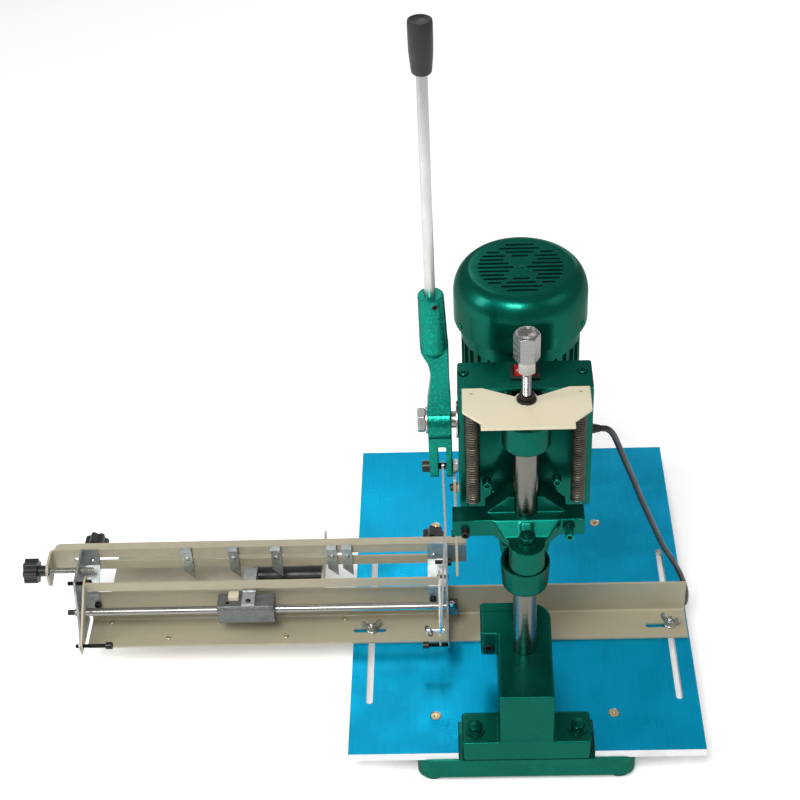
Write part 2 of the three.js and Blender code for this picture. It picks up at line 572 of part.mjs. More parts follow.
function buildLink() {
  const headAt = LEVER.left - 8 - GAP;
  place('clevis_bolt', socketScrew('x', headAt, -72, PINION.y, CLEVIS_Z, 4), blackSteel);
  const nut = hexBar('x', LEVER.right + GAP, -72.2, PINION.y, CLEVIS_Z, 13);
  place('clevis_nut', nut.subtract(bar('x', -90, -70, PINION.y, CLEVIS_Z, 4 + GAP, 16)), bareSteel);
  const x0 = LINK.x - LINK.thickness / 2;
  const half = LINK.width / 2;
  const t = LINK.thickness / 2;
  const line = [[LINK.x, CLEVIS_Z], [LINK.x + 0.8, 310], [LINK.hookX, LINK.bottom]];
  const edge = (side) => line.map(([x, z]) => [x + side * t, z]);
  let link = slab('y', PINION.y - half, PINION.y + half, [...edge(-1).reverse(), ...edge(1)]);
  link = link.add(bar('x', x0, x0 + LINK.thickness, PINION.y, CLEVIS_Z, half, 24));
  link = link.add(bar('x', LINK.hookX - 18, LINK.hookX, PINION.y, LINK.bottom + 2.5, 2.5, 14));
  link = link.subtract(bar('x', x0 - 1, x0 + LINK.thickness + 1, PINION.y, CLEVIS_Z, 4 + GAP, 16));
  place('link_bar', link, bareSteel);
  const spacer = box(-HEAD.half - 4, -HEAD.half - GAP, 24, 40, 362, 378);
  const strip = box(-HEAD.half - 6.5, -HEAD.half - 3.5, 24, 40, 238, 387).add(spacer);
  place('trip_strip', strip, beigePaint);
}

// ---------------------------------------------------------------- fence and side gauge
function buildFence() {
  const f = FENCE;
  const top = f.bottom + f.thickness;
  let body = box(f.left, f.right, f.near, f.far, f.bottom, top);
  body = body.add(box(f.left, f.right, f.far - f.thickness, f.far, f.bottom, f.bottom + f.height));
  body = body.subtract(roundSlot(-210, -169, 113.5, 120.5, f.bottom - 1, top + 1));
  body = body.subtract(roundSlot(157, 191, 113.5, 120.5, f.bottom - 1, top + 1));
  place('fence', body, beigePaint);
  for (const [name, side] of [['left', -1], ['right', 1]]) {
    const x = side * TABLE_SLOT.x;
    const seat = top + GAP;
    let nut = turned([[0, seat], [7.5, seat], [7.5, seat + 2], [6, seat + 2.5], [4.8, seat + 9],
      [0, seat + 9]], x, 117, 20);
    nut = nut.add(bar('z', TABLE.bottom - 6, seat + 13, x, 117, 3, 14));
    for (const wing of [-1, 1]) {
      const outline = [
        [x + wing * 3, seat + 3], [x + wing * 11, seat + 9], [x + wing * 13, seat + 16],
        [x + wing * 8, seat + 15], [x + wing * 3, seat + 9],
      ];
      nut = nut.add(slab('y', 116, 118, wing > 0 ? outline : outline.reverse()));
    }
    place(`wing_nut_${name}`, nut, bareSteel);
  }
}

function endPlate(x0, x1, earX, lockX) {
  const t = 2.5;
  const foot = FENCE.bottom + FENCE.thickness + GAP;
  const back = FENCE.far - FENCE.thickness - GAP;
  const railFace = RAIL.y - GAP;
  const ear = [
    [84, foot], [back, foot], [back, 101.5], [railFace, 120], [railFace, RAIL.top + 2],
    [117, RAIL.top + 2], [112, 136], [104, 104],
    [84, foot + 8],
  ];
  let body = slab('x', earX, earX + t, ear);
  body = body.add(box(x0, x1, back - t, back, foot + 12, 103));
  const slope = [
    [back - t, 101.5], [back, 101.5], [railFace, 120], [railFace, RAIL.top + 2],
    [railFace - t, RAIL.top + 2], [railFace - t, 121.5],
  ];
  body = body.add(slab('x', x0, x1, slope));
  body = body.subtract(bar('y', railFace - 6, railFace + 1, lockX, LOCK.z, 3 + GAP, 14));
  body = body.subtract(bar('x', earX - 1, earX + t + 1, FEED.y, FEED.z, 4 + GAP, 16));
  body = body.subtract(bar('x', earX - 1, earX + t + 1, ROD.y, ROD.z, ROD.radius + GAP, 20));
  body = body.subtract(bar('x', earX - 1, earX + t + 1, BAIL.pivotY, BAIL.pivotZ, 3 + GAP, 14));
  return body;
}

function buildGauge() {
  const ears = { left: -551, right: -92 };
  place('end_plate_left', endPlate(ears.left, ears.left + 21, ears.left, LOCK.left), zincPlate);
  place('end_plate_right', endPlate(ears.right - 23, ears.right + 2.5, ears.right, LOCK.right), zincPlate);
  place('guide_rod', bar('x', ROD.left, ROD.right, ROD.y, ROD.z, ROD.radius, 20), bareSteel);

  // Rail with a long slot, a top lip, and a bent left end that carries the adjusting screw.
  const r = RAIL;
  let rail = box(r.left, r.right, r.y, r.y + r.thickness, r.bottom, r.top);
  rail = rail.add(box(r.left, r.right, r.y, r.y + 12, r.top - 3, r.top));
  const tab = [[r.y + 3, r.top], [r.y + 3, r.bottom + 8], [151, 112], [143, 118], [141, 140], [150, r.top]];
  rail = rail.add(slab('x', r.left, r.left + 3, tab));
  rail = rail.subtract(box(-562, -88, r.y - 1, r.y + 4, LOCK.z - 3.5, LOCK.z + 3.5));
  rail = rail.subtract(bar('x', r.left - 1, r.left + 4, FEED.y, FEED.z, 4 + GAP, 16));
  place('rail', rail, beigePaint);

  STOP_X.forEach((x, index) => {
    const half = 6.4;
    const near = r.y - GAP - 2.5;
    const far = r.y - GAP;
    let stop = slab('y', near, far,
      [[x - half, r.top + 2], [x - half, 108], [x + half, 95], [x + half, r.top + 2]]);
    stop = stop.add(box(x - half, x + half, near - 7, far, r.top, r.top + 2.5));
    place(`stop_${index + 1}`, stop, zincPlate);
  });

  let knob = bar('x', -619, -602, FEED.y, FEED.z, 13, 20);
  const lobes = 7;
  for (let i = 0; i < lobes; i += 1) {
    const a = 2 * Math.PI * i / lobes;
    knob = knob.add(bar('x', -617, -604, FEED.y + 12 * Math.cos(a), FEED.z + 12 * Math.sin(a), 4, 10));
  }
  knob = knob.add(bar('x', -603, r.left - GAP, FEED.y, FEED.z, 7, 20));
  knob = knob.add(bar('x', -596, -533, FEED.y, FEED.z, 4, 16));
  place('rail_knob', knob, blackPlastic);

  const face = r.y + r.thickness + GAP;
  for (const side of ['left', 'right']) {
    const x = LOCK[side];
    let lock = bar('y', face, face + 13, x, LOCK.z, 7, 20)
      .add(bar('y', r.y - 6, face + 1, x, LOCK.z, 3, 14));
    lock = lock.add(bar('y', face + 12, face + 32, x, LOCK.z, 12, 20));
    for (let i = 0; i < lobes; i += 1) {
      const a = 2 * Math.PI * i / lobes;
      lock = lock.add(bar('y', face + 14, face + 30, x + 11.2 * Math.cos(a), LOCK.z + 11.2 * Math.sin(a),
        4, 10));
    }
    place(`lock_knob_${side}`, lock, blackPlastic);
  }
}

function buildBail() {
  const b = BAIL;
  const t = 2.5;
  const left = -539.5;
  const right = -98.5;
  let body = box(left, right, b.y - 1.5, b.y + 1.5, b.bottom, b.top);
  const arm = (x) => {
    const outline = [
      [b.pivotY + 7, b.top], [b.pivotY - 2, b.top + 2], [114, b.top], [54, 102], [54, 91], [62, 93],
      [120, b.bottom - 1],
      [b.pivotY + 7, b.bottom + 2],
    ];
    return slab('x', x, x + t, outline);
  };
  body = body.add(arm(left)).add(arm(right - t));
  for (const x of [left, right - t]) {
    body = body.subtract(bar('x', x - 1, x + t + 1, b.pivotY, b.pivotZ, 3 + GAP, 14));
  }
  place('bail', body, beigePaint);
}

function buildCarriage() {
  const s = SLIDER;
  const outline = [
    [s.near, s.bottom + 9], [s.near + 7, s.bottom], [s.far, s.bottom + 2], [s.far, s.top],
    [s.near + 3, s.top], [s.near, s.top - 4],
  ];
  let block = slab('x', s.left, s.right, outline);
  block = block.subtract(bar('x', s.left - 1, s.right + 1, ROD.y, ROD.z, ROD.radius + GAP, 20));
  place('slider_block', block, zincPlate);

  const t = 3;
  const foot = s.top + GAP;
  const crest = FENCE.bottom + FENCE.height + 9;
  const floor = 62;
  const bracket = [
    [104, foot], [127, foot], [136, crest + 12], [158, crest + 12], [158, floor + GAP], [175, floor + GAP],
    [175, floor + GAP + t],
    [158 + t, floor + GAP + t], [158 + t, crest + 12 + t], [134, crest + 12 + t], [125, foot + t],
    [104, foot + t],
  ];
  place('slider_bracket', slab('x', -345, -329, bracket), zincPlate);

  let plate = box(-526, -250, 152, 268, floor - 2.5, floor);
  plate = plate.add(box(-252.5, -250, 152, 268, floor - 2.5, 84));
  place('stop_plate', plate, beigePaint);
  place('rest_bar', bar('x', -342, -253, 196, floor + 12.4, 12, 24), blackPlastic);
}

// ---------------------------------------------------------------- mains lead
function buildCord() {
  const exit = { x: HEAD.half - 12, y: CORD_EXIT.y, z: CORD_EXIT.z };
  const relief = bar('x', exit.x, 82, exit.y, exit.z, 6, 20, 4.2);
  place('cord_gland', relief, blackPlastic);

  const points = CORD_ROUTE.map(([x, y, z]) => new THREE.Vector3(x, y, z));
  const curve = new THREE.CatmullRomCurve3(points, false, 'centripetal');
  const section = new THREE.Shape();
  section.absarc(0, 0, CORD_DIAMETER / 2, 0, 2 * Math.PI, false);
  const steps = 44;
  const tube = new THREE.ExtrudeGeometry(section,
    { steps, extrudePath: curve, bevelEnabled: false, curveSegments: 5 });
  place('power_cord', solid(tube), blackPlastic);

  const c = COIL;
  const ring = turned([[c.inner, 0], [c.outer, 0], [c.outer, c.height], [c.inner, c.height], [c.inner, 0]],
    c.x, c.y, 32);
  place('cord_coil', ring, blackPlastic);

  const p = PLUG;
  let plug = box(p.x - 18, p.x + 18, p.y - 32, p.y, 0, p.z);
  plug = plug.add(bar('y', p.y - 1, p.y + 12, p.x, 5, 4.5, 16));
  for (const side of [-1, 1]) {
    plug = plug.add(bar('y', p.y - 50, p.y - 31, p.x + side * 9.5, 9, 2.4, 12));
  }
  place('plug', plug, blackPlastic);
}

buildBase();
buildTable();
buildColumnBlock();
buildColumn();
buildSpringPlate();
buildHead();
buildYoke();
buildSprings();
buildSwitchCover();
buildMotor();
buildSpindle();
buildPinionShaft();
buildLever();
buildLink();
buildFence();
buildGauge();
buildBail();
buildCarriage();
buildCord();

export default root;
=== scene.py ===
"""A single-head paper drill seen from behind its column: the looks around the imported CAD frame."""

from math import acos, cos, pi, radians, sin, sqrt, tan

import bmesh
import bpy
from mathutils import Matrix, Vector


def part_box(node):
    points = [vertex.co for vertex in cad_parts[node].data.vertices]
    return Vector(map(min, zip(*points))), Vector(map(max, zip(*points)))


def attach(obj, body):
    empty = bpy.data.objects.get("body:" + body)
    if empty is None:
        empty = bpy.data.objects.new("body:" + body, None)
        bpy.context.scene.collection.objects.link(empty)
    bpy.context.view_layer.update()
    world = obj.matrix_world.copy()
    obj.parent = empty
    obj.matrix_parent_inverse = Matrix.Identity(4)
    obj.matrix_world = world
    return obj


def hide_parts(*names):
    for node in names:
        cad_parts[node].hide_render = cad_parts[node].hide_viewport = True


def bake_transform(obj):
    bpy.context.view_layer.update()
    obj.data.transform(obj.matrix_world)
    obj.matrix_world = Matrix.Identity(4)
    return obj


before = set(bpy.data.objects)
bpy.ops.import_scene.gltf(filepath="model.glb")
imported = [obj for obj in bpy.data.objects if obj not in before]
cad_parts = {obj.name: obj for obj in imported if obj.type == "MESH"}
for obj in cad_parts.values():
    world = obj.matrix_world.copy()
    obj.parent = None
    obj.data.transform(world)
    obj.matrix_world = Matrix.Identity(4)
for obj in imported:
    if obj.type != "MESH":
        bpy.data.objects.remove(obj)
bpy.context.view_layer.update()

# ---- the frame's places
# Shapes below are in millimetres from the bench under the column's axis; piece() turns them to metres.
MM = 0.001
SPINDLE_Y = 162
SPINDLE = (0, SPINDLE_Y)
PINION_Y, PINION_Z = 38.3, 462
PINION = (PINION_Y, PINION_Z)
TOOTH_MODULE, PINION_TEETH = 2.5, 22
PITCH_RADIUS = TOOTH_MODULE * PINION_TEETH / 2
ROD_X = -96.5
ROD = (ROD_X, PINION_Y)
CLEVIS_Z = 396
CLEVIS = (PINION_Y, CLEVIS_Z)
LINK_X = -89.3
FENCE_TOP = 53.3
GUIDE = (115, 97)
BAIL_PIVOT = (124, 139)
BAIL_SCREW = (58, 97)
RAIL_Y = 176
STOP_Z = 129
FEED = (152, 134)
NOSE = (0, -40)
PINCH = (-41.5, 118)
FOOT_BOLT_Y = -59
column_low, column_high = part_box("column")
AXIS_X = (column_low[0] + column_high[0]) / 2
AXIS_Y = (column_low[1] + column_high[1]) / 2
TO_FRAME = Matrix.Translation((AXIS_X, AXIS_Y, 0)) @ Matrix.Scale(MM, 4)


def spot(x, y, z):
    """A point of the frame in metres, from millimetres."""
    return TO_FRAME @ Vector((x, y, z))


def limits(node):
    """The lowest and highest corners of a CAD node, in the millimetres used here."""
    low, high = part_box(node)
    back = TO_FRAME.inverted()
    return back @ Vector(low), back @ Vector(high)


def added(name, data):
    """A new object in the scene."""
    obj = bpy.data.objects.new(name, data)
    bpy.context.scene.collection.objects.link(obj)
    return obj


# ---- camera
def build_camera():
    """The camera stands behind the column and looks down on the machine."""
    place = Vector((-62.3, -1348.2, 1617.6))
    pitch, yaw, roll = radians(39.32), radians(-2.11), radians(2.57)
    forward = Vector((sin(yaw) * cos(pitch), cos(yaw) * cos(pitch), -sin(pitch)))
    level = Vector((cos(yaw), -sin(yaw), 0))
    down = forward.cross(level)
    right = level * cos(roll) + down * sin(roll)
    up = level * sin(roll) - down * cos(roll)
    data = bpy.data.cameras.new("camera")
    data.sensor_width = 36
    data.lens = 75.9
    data.shift_x = -0.0226
    data.shift_y = 0.0078
    data.clip_end = 20
    camera = added("camera", data)
    turn = Matrix((right, up, -forward)).transposed().to_4x4()
    camera.matrix_world = Matrix.Translation(spot(*place)) @ turn
    bpy.context.scene.camera = camera


# ---- materials
class Paint:
    """A Principled material and short ways to add procedural detail to it."""

    def __init__(self, name, color, metallic=0.0, roughness=0.5):
        self.material = bpy.data.materials.new(name)
        self.material.use_nodes = True
        self.tree = self.material.node_tree
        self.shader = self.tree.nodes["Principled BSDF"]
        self.set("Base Color", (*color, 1))
        self.set("Metallic", metallic)
        self.set("Roughness", roughness)
        self.place = self.tree.nodes.new("ShaderNodeTexCoord").outputs["Object"]
        self.normal = None

    def set(self, socket, value):
        self.shader.inputs[socket].default_value = value

    def node(self, kind, **inputs):
        """A new node; each input is given a value or linked to another node's output."""
        node = self.tree.nodes.new("ShaderNode" + kind)
        for name, value in inputs.items():
            socket = node.inputs[name.replace("_", " ")]
            if isinstance(value, bpy.types.NodeSocket):
                self.tree.links.new(value, socket)
            else:
                socket.default_value = value
        return node

    def stretched(self, scale):
        """Object coordinates stretched by a scale on each axis."""
        return self.node("Mapping", Scale=scale, Vector=self.place).outputs["Vector"]

    def noise(self, scale, detail=3.0, rough=0.55, source=None):
        where = source or self.place
        return self.node("TexNoise", Scale=scale, Detail=detail, Roughness=rough, Vector=where).outputs["Fac"]

    def cells(self, scale):
        return self.node("TexVoronoi", Scale=scale, Vector=self.place).outputs["Distance"]

    def spread(self, source, low, high, start=0.3, end=0.7):
        """Maps a 0 to 1 value so that start becomes low and end becomes high."""
        node = self.node("MapRange", From_Min=start, From_Max=end, To_Min=low, To_Max=high, Value=source)
        return node.outputs["Result"]

    def tint(self, factor, other):
        """Mixes the colour so far with another one."""
        node = self.tree.nodes.new("ShaderNodeMix")
        node.data_type = "RGBA"
        colors = [socket for socket in node.inputs if socket.type == "RGBA"]
        base = self.shader.inputs["Base Color"]
        if base.is_linked:
            self.tree.links.new(base.links[0].from_socket, colors[0])
        else:
            colors[0].default_value = base.default_value
        colors[1].default_value = (*other, 1)
        self.tree.links.new(factor, node.inputs["Factor"])
        result = [socket for socket in node.outputs if socket.type == "RGBA"][0]
        self.tree.links.new(result, base)

    def flecks(self, source, amount, start, end, other):
        """Another colour where a pattern is high: none at start, this amount of it at end."""
        self.tint(self.spread(source, 0, amount, start, end), other)

    def rough(self, source, low, high):
        self.tree.links.new(self.spread(source, low, high), self.shader.inputs["Roughness"])

    def bump(self, source, depth, strength=1.0):
        node = self.node("Bump", Strength=strength, Distance=depth, Height=source)
        if self.normal:
            self.tree.links.new(self.normal, node.inputs["Normal"])
        self.normal = node.outputs["Normal"]
        self.tree.links.new(self.normal, self.shader.inputs["Normal"])

    def worn_edges(self, other, strength=0.6):
        """Lighter paint along sharp edges, broken up by noise."""
        pointed = self.node("NewGeometry").outputs["Pointiness"]
        edge = self.spread(pointed, 0, strength, 0.53, 0.62)
        broken = self.node("Math")
        broken.operation = "MULTIPLY"
        self.tree.links.new(edge, broken.inputs[0])
        self.tree.links.new(self.spread(self.noise(90), 0, 1, 0.4, 0.6), broken.inputs[1])
        self.tint(broken.outputs["Value"], other)


def green_enamel(name, color, light, grain, grain_depth, contrast):
    """Hammered metallic enamel: pale flecks over a dark ground, with a little orange peel."""
    paint = Paint(name, color, metallic=0.85, roughness=0.3)
    paint.flecks(paint.noise(9, 5), 0.35, 0.35, 0.75, light)
    paint.flecks(paint.noise(grain * 1.6, 2), contrast, 0.5, 0.72, light)
    paint.worn_edges((0.03, 0.3, 0.21), 0.3)
    paint.rough(paint.noise(30, 4), 0.24, 0.38)
    paint.bump(paint.noise(grain, 2, 0.5), grain_depth, 0.6)
    paint.bump(paint.noise(14, 3), 0.0006, 0.15)
    paint.set("Specular IOR Level", 0.2)
    paint.set("Specular Tint", (0.15, 0.42, 0.36, 1))
    paint.set("Coat Weight", 0.08)
    paint.set("Coat Roughness", 0.1)
    return paint.material


def film_material():
    """Blue protective film on a brushed plate: long streaks, fine scuffs and a few soft ripples."""
    paint = Paint("blue_film", (0.0, 0.36, 0.61), metallic=0.85, roughness=0.3)
    paint.flecks(paint.noise(3.5, 4), 0.6, 0.35, 0.7, (0.0, 0.44, 0.74))
    lengthways = paint.noise(60, 3, 0.6, paint.stretched((6, 0.35, 1)))
    paint.flecks(lengthways, 0.35, 0.45, 0.75, (0.0, 0.26, 0.48))
    scratches = paint.noise(220, 2, 0.7, paint.stretched((0.3, 9, 1)))
    paint.flecks(scratches, 0.4, 0.735, 0.78, (0.2, 0.5, 0.7))
    paint.rough(paint.noise(14, 5), 0.22, 0.4)
    paint.bump(paint.noise(4, 2), 0.0006, 0.15)
    paint.bump(lengthways, 0.0001, 0.3)
    paint.set("Specular IOR Level", 0.1)
    paint.set("Coat Weight", 0.04)
    paint.set("Coat Roughness", 0.12)
    return paint.material


def powder_coat(name, color, dirt):
    paint = Paint(name, color, roughness=0.42)
    paint.flecks(paint.noise(9, 5), 0.16, 0.45, 0.75, dirt)
    paint.flecks(paint.noise(260, 3), 0.25, 0.62, 0.75, dirt)
    paint.worn_edges((0.62, 0.6, 0.55), 0.1)
    paint.rough(paint.noise(25, 4), 0.34, 0.55)
    paint.bump(paint.noise(1400, 2), 0.00012, 0.5)
    paint.set("Coat Weight", 0.15)
    return paint.material


def turned_steel(name, color, ring=(1, 1, 40), roughness=0.2, dull=0.35, relief=0.25):
    """Bright steel with fine tool marks across the stretched axis and a few dull patches."""
    paint = Paint(name, color, metallic=1.0, roughness=roughness)
    marks = paint.noise(70, 3, 0.6, paint.stretched(ring))
    paint.flecks(paint.noise(16, 5), dull, 0.5, 0.8, (0.22, 0.2, 0.17))
    paint.rough(marks, roughness * 0.7, roughness * 1.6)
    paint.bump(marks, 0.00002, relief)
    return paint.material


def zinc_material(name, color, crystal, dark):
    """Plated sheet with faint crystals, duller where hands have rubbed it."""
    paint = Paint(name, color, metallic=0.85, roughness=0.42)
    paint.flecks(paint.cells(140), 0.5, 0.1, 0.7, crystal)
    paint.flecks(paint.noise(24, 5), 0.6, 0.5, 0.75, dark)
    paint.rough(paint.noise(60, 4), 0.3, 0.55)
    paint.bump(paint.noise(420, 3), 0.00018, 0.4)
    return paint.material


def cast_zinc_material():
    paint = Paint("cast_zinc", (0.13, 0.14, 0.135), metallic=0.75, roughness=0.45)
    paint.flecks(paint.noise(700, 3), 0.8, 0.55, 0.68, (0.3, 0.32, 0.31))
    paint.flecks(paint.noise(60, 4), 0.6, 0.5, 0.7, (0.06, 0.065, 0.065))
    paint.worn_edges((0.6, 0.62, 0.6))
    paint.rough(paint.noise(90, 4), 0.34, 0.58)
    paint.bump(paint.noise(420, 4), 0.0004, 0.55)
    return paint.material


def plastic(name, color, roughness=0.42, grain=900, depth=0.00012, light=(0.04, 0.04, 0.04)):
    paint = Paint(name, color, roughness=roughness)
    paint.flecks(paint.noise(35, 5), 0.3, 0.5, 0.8, light)
    paint.rough(paint.noise(45, 3), roughness * 0.8, roughness * 1.3)
    paint.bump(paint.noise(grain, 2), depth, 0.5)
    return paint.material


def black_steel_material():
    paint = Paint("black_steel", (0.022, 0.021, 0.02), metallic=0.75, roughness=0.32)
    paint.flecks(paint.noise(50, 5), 0.5, 0.5, 0.75, (0.1, 0.085, 0.07))
    paint.worn_edges((0.3, 0.28, 0.25))
    paint.rough(paint.noise(120, 3), 0.22, 0.48)
    paint.bump(paint.noise(800, 2), 0.00008, 0.4)
    return paint.material


def floor_material():
    paint = Paint("floor", (0.92, 0.92, 0.92), roughness=0.75)
    paint.flecks(paint.noise(2.5, 4), 0.2, 0.4, 0.7, (0.89, 0.89, 0.885))
    paint.set("Emission Color", (1, 1, 1, 1))
    paint.set("Emission Strength", 0.22)
    return paint.material


GREEN = green_enamel("green_enamel", (0.0015, 0.088, 0.062), (0.003, 0.17, 0.12), 420, 0.00012, 0.3)
HAMMERED = green_enamel("green_hammered", (0.002, 0.14, 0.1), (0.01, 0.42, 0.31), 230, 0.0005, 0.6)
FILM = film_material()
BEIGE = powder_coat("beige_coat", (0.36, 0.325, 0.225), (0.26, 0.225, 0.15))
# A lighter copy of the beige coat: painted light, standing for beige tops lit from above.
LIT_BEIGE = powder_coat("beige_coat_lit", (0.6, 0.54, 0.39), (0.5, 0.43, 0.3))
STEEL = turned_steel("polished_steel", (0.16, 0.155, 0.14))
PALE_STEEL = turned_steel("pale_steel", (0.29, 0.29, 0.28), (1, 1, 12), 0.26, 0.15)
BRIGHT_STEEL = turned_steel("bright_steel_rod", (0.62, 0.62, 0.61), (1, 1, 0.4), 0.28, 0.05, 0.02)
STEEL_X = turned_steel("polished_steel_lengthways", (0.3, 0.29, 0.27), (0.3, 1, 1), 0.26, 0.1, 0.0)
RAW_EDGE = turned_steel("raw_aluminium", (0.72, 0.73, 0.74), (1, 1, 12), 0.32)
NUT_STEEL = turned_steel("nut_steel", (0.46, 0.46, 0.44), (1, 1, 6), 0.28)
BRASS = turned_steel("brass", (0.6, 0.5, 0.32), (1, 1, 5), 0.3)
ZINC = zinc_material("zinc", (0.3, 0.33, 0.33), (0.55, 0.58, 0.56), (0.16, 0.18, 0.18))
STOP_ZINC = zinc_material("stop_zinc", (0.37, 0.41, 0.4), (0.66, 0.7, 0.68), (0.22, 0.25, 0.25))
CAST_ZINC = cast_zinc_material()
BLACK_STEEL = black_steel_material()
SPRING_STEEL = turned_steel("spring_steel", (0.13, 0.115, 0.095), (1, 1, 1), 0.42, 0.0)
BLACK_PLASTIC = plastic("black_plastic", (0.008, 0.008, 0.0085), 0.36)
RUBBER = plastic("black_rubber", (0.007, 0.007, 0.007), 0.42, 500, 0.0001, (0.02, 0.02, 0.02))
RED_PLASTIC = plastic("red_plastic", (0.42, 0.008, 0.012), 0.22, 300, 0.00004, (0.55, 0.03, 0.03))
WHITE_PLASTIC = plastic("white_plastic", (0.78, 0.76, 0.7), 0.45, 240, 0.0002, (0.62, 0.58, 0.5))

# ---- solid shapes, in millimetres
EXACT = 1e-4


def from_faces(points, faces):
    mesh = bpy.data.meshes.new("shape")
    mesh.from_pydata([tuple(p) for p in points], [], faces)
    work = bmesh.new()
    work.from_mesh(mesh)
    bmesh.ops.remove_doubles(work, verts=work.verts, dist=EXACT)
    bmesh.ops.recalc_face_normals(work, faces=work.faces)
    work.to_mesh(mesh)
    work.free()
    return added("shape", mesh)


def along(axis, a, b, h):
    """The point at h on an axis, with a and b as its other two coordinates, in order."""
    return {"x": (h, a, b), "y": (a, h, b), "z": (a, b, h)}[axis]


def turned(axis, profile, a=0.0, b=0.0, segments=64):
    """Turns (radius, height) pairs about an axis. The profile starts and ends on the axis, or closes."""
    closed = profile[0] == profile[-1]
    rows = profile[:-1] if closed else profile
    points = []
    for radius, height in rows:
        for i in range(segments):
            angle = 2 * pi * i / segments
            points.append(along(axis, a + radius * cos(angle), b + radius * sin(angle), height))
    faces = []
    count = len(rows)
    for row in range(count if closed else count - 1):
        following = (row + 1) % count
        for i in range(segments):
            j = (i + 1) % segments
            this, other = row * segments, following * segments
            faces.append([this + i, this + j, other + j, other + i])
    return from_faces(points, faces)


def bar(axis, start, stop, a, b, radius, end_radius=None, segments=48):
    """A round bar along an axis, or a cone when its end radius differs."""
    last = radius if end_radius is None else end_radius
    return turned(axis, [(0, start), (radius, start), (last, stop), (0, stop)], a, b, segments)


def tube_ring(axis, start, stop, a, b, outer, inner, segments):
    """A plain ring about an axis."""
    profile = [(inner, start), (outer, start), (outer, stop), (inner, stop), (inner, start)]
    return turned(axis, profile, a, b, segments)


def slab(axis, start, stop, outline):
    """An outline of (a, b) points pushed along an axis."""
    count = len(outline)
    points = [along(axis, a, b, start) for a, b in outline] + [along(axis, a, b, stop) for a, b in outline]
    faces = [list(range(count)), list(range(count, 2 * count))]
    for i in range(count):
        j = (i + 1) % count
        faces.append([i, j, count + j, count + i])
    return from_faces(points, faces)


def drilled(obj, *hole, **detail):
    """Takes a round hole, described as for bar, out of a shape."""
    return cut(obj, bar(*hole, **detail))


def box(x0, x1, y0, y1, z0, z1):
    return slab("z", z0, z1, [(x0, y0), (x1, y0), (x1, y1), (x0, y1)])


def arc(a, b, radius, start, stop, steps=10):
    """Points on a circle between two angles in degrees."""
    angles = [radians(start + (stop - start) * i / steps) for i in range(steps + 1)]
    return [(a + radius * cos(t), b + radius * sin(t)) for t in angles]


def rounded(a0, a1, b0, b1, radius, steps=8):
    """A rectangle's outline with round corners."""
    outline = arc(a1 - radius, b1 - radius, radius, 0, 90, steps)
    outline += arc(a0 + radius, b1 - radius, radius, 90, 180, steps)
    outline += arc(a0 + radius, b0 + radius, radius, 180, 270, steps)
    outline += arc(a1 - radius, b0 + radius, radius, 270, 360, steps)
    return outline


def hexagon(a, b, across_flats, turn=0):
    return arc(a, b, across_flats / sqrt(3), turn, turn + 300, 5)


def moved(obj, place, angle):
    """Turns a shape about Z by an angle in degrees and moves it to a place."""
    obj.data.transform(Matrix.Translation(place) @ Matrix.Rotation(radians(angle), 4, "Z"))
    return obj


def applied(obj):
    """Bakes an object's modifiers into its mesh."""
    bpy.context.view_layer.update()
    mesh = bpy.data.meshes.new_from_object(obj.evaluated_get(bpy.context.evaluated_depsgraph_get()))
    obj.modifiers.clear()
    old = obj.data
    obj.data = mesh
    bpy.data.meshes.remove(old)
    return obj


def combined(first, others, operation):
    for other in others:
        step = first.modifiers.new("step", "BOOLEAN")
        step.operation = operation
        step.solver = "MANIFOLD"
        step.object = other
        applied(first)
        bpy.data.objects.remove(other)
    return first


def join(first, *others):
    return combined(first, others, "UNION")


def cut(first, *others):
    return combined(first, others, "DIFFERENCE")


def common(first, *others):
    return combined(first, others, "INTERSECT")


def cast(obj, grain, rounds=5, keep=0.3):
    """Softens a solid's edges and inside corners as sand casting does."""
    skin = obj.modifiers.new("skin", "REMESH")
    skin.mode = "VOXEL"
    skin.voxel_size = grain
    soften = obj.modifiers.new("soften", "SMOOTH")
    soften.factor = 0.5
    soften.iterations = rounds
    thin = obj.modifiers.new("thin", "DECIMATE")
    thin.ratio = keep
    obj = applied(obj)
    obj["cast"] = True
    return obj


def cleaned(obj):
    """Joins flat triangles back into whole faces, so that bevels run clean."""
    work = bmesh.new()
    work.from_mesh(obj.data)
    bmesh.ops.remove_doubles(work, verts=work.verts, dist=0.004)
    bmesh.ops.dissolve_limit(work, angle_limit=radians(0.4), verts=work.verts, edges=work.edges)
    work.to_mesh(obj.data)
    work.free()


def dress(obj, material, bevel, angle=34):
    """Material, smooth shading and a small bevel on an object in metres."""
    obj.data.materials.clear()
    obj.data.materials.append(material)
    for polygon in obj.data.polygons:
        polygon.use_smooth = True
    obj.data.set_sharp_from_angle(angle=radians(angle))
    if bevel:
        edge = obj.modifiers.new("edge", "BEVEL")
        edge.width = bevel * MM
        edge.segments = 2
        edge.limit_method = "ANGLE"
        edge.angle_limit = radians(angle)
        edge.harden_normals = True
        edge.use_clamp_overlap = bevel >= 0.4


def piece(name, obj, material, body, bevel=0.5, replaces=()):
    """Turns a shape in millimetres into a named piece that moves with a body and may stand for CAD nodes."""
    is_cast = obj.get("cast", False)
    if not is_cast:
        cleaned(obj)
    obj.name = name
    obj.data.name = name
    obj.data.transform(TO_FRAME)
    dress(obj, material, 0 if is_cast else bevel, 50 if is_cast else 34)
    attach(obj, body)
    if replaces:
        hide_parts(*replaces)
    return obj


def blended(name, obj, material, replaces):
    """Turns a tube in millimetres into a named piece that stands for CAD nodes, with its place baked in."""
    obj.name = name
    obj.data.transform(TO_FRAME)
    dress(obj, material, 0)
    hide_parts(*replaces)
    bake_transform(obj)


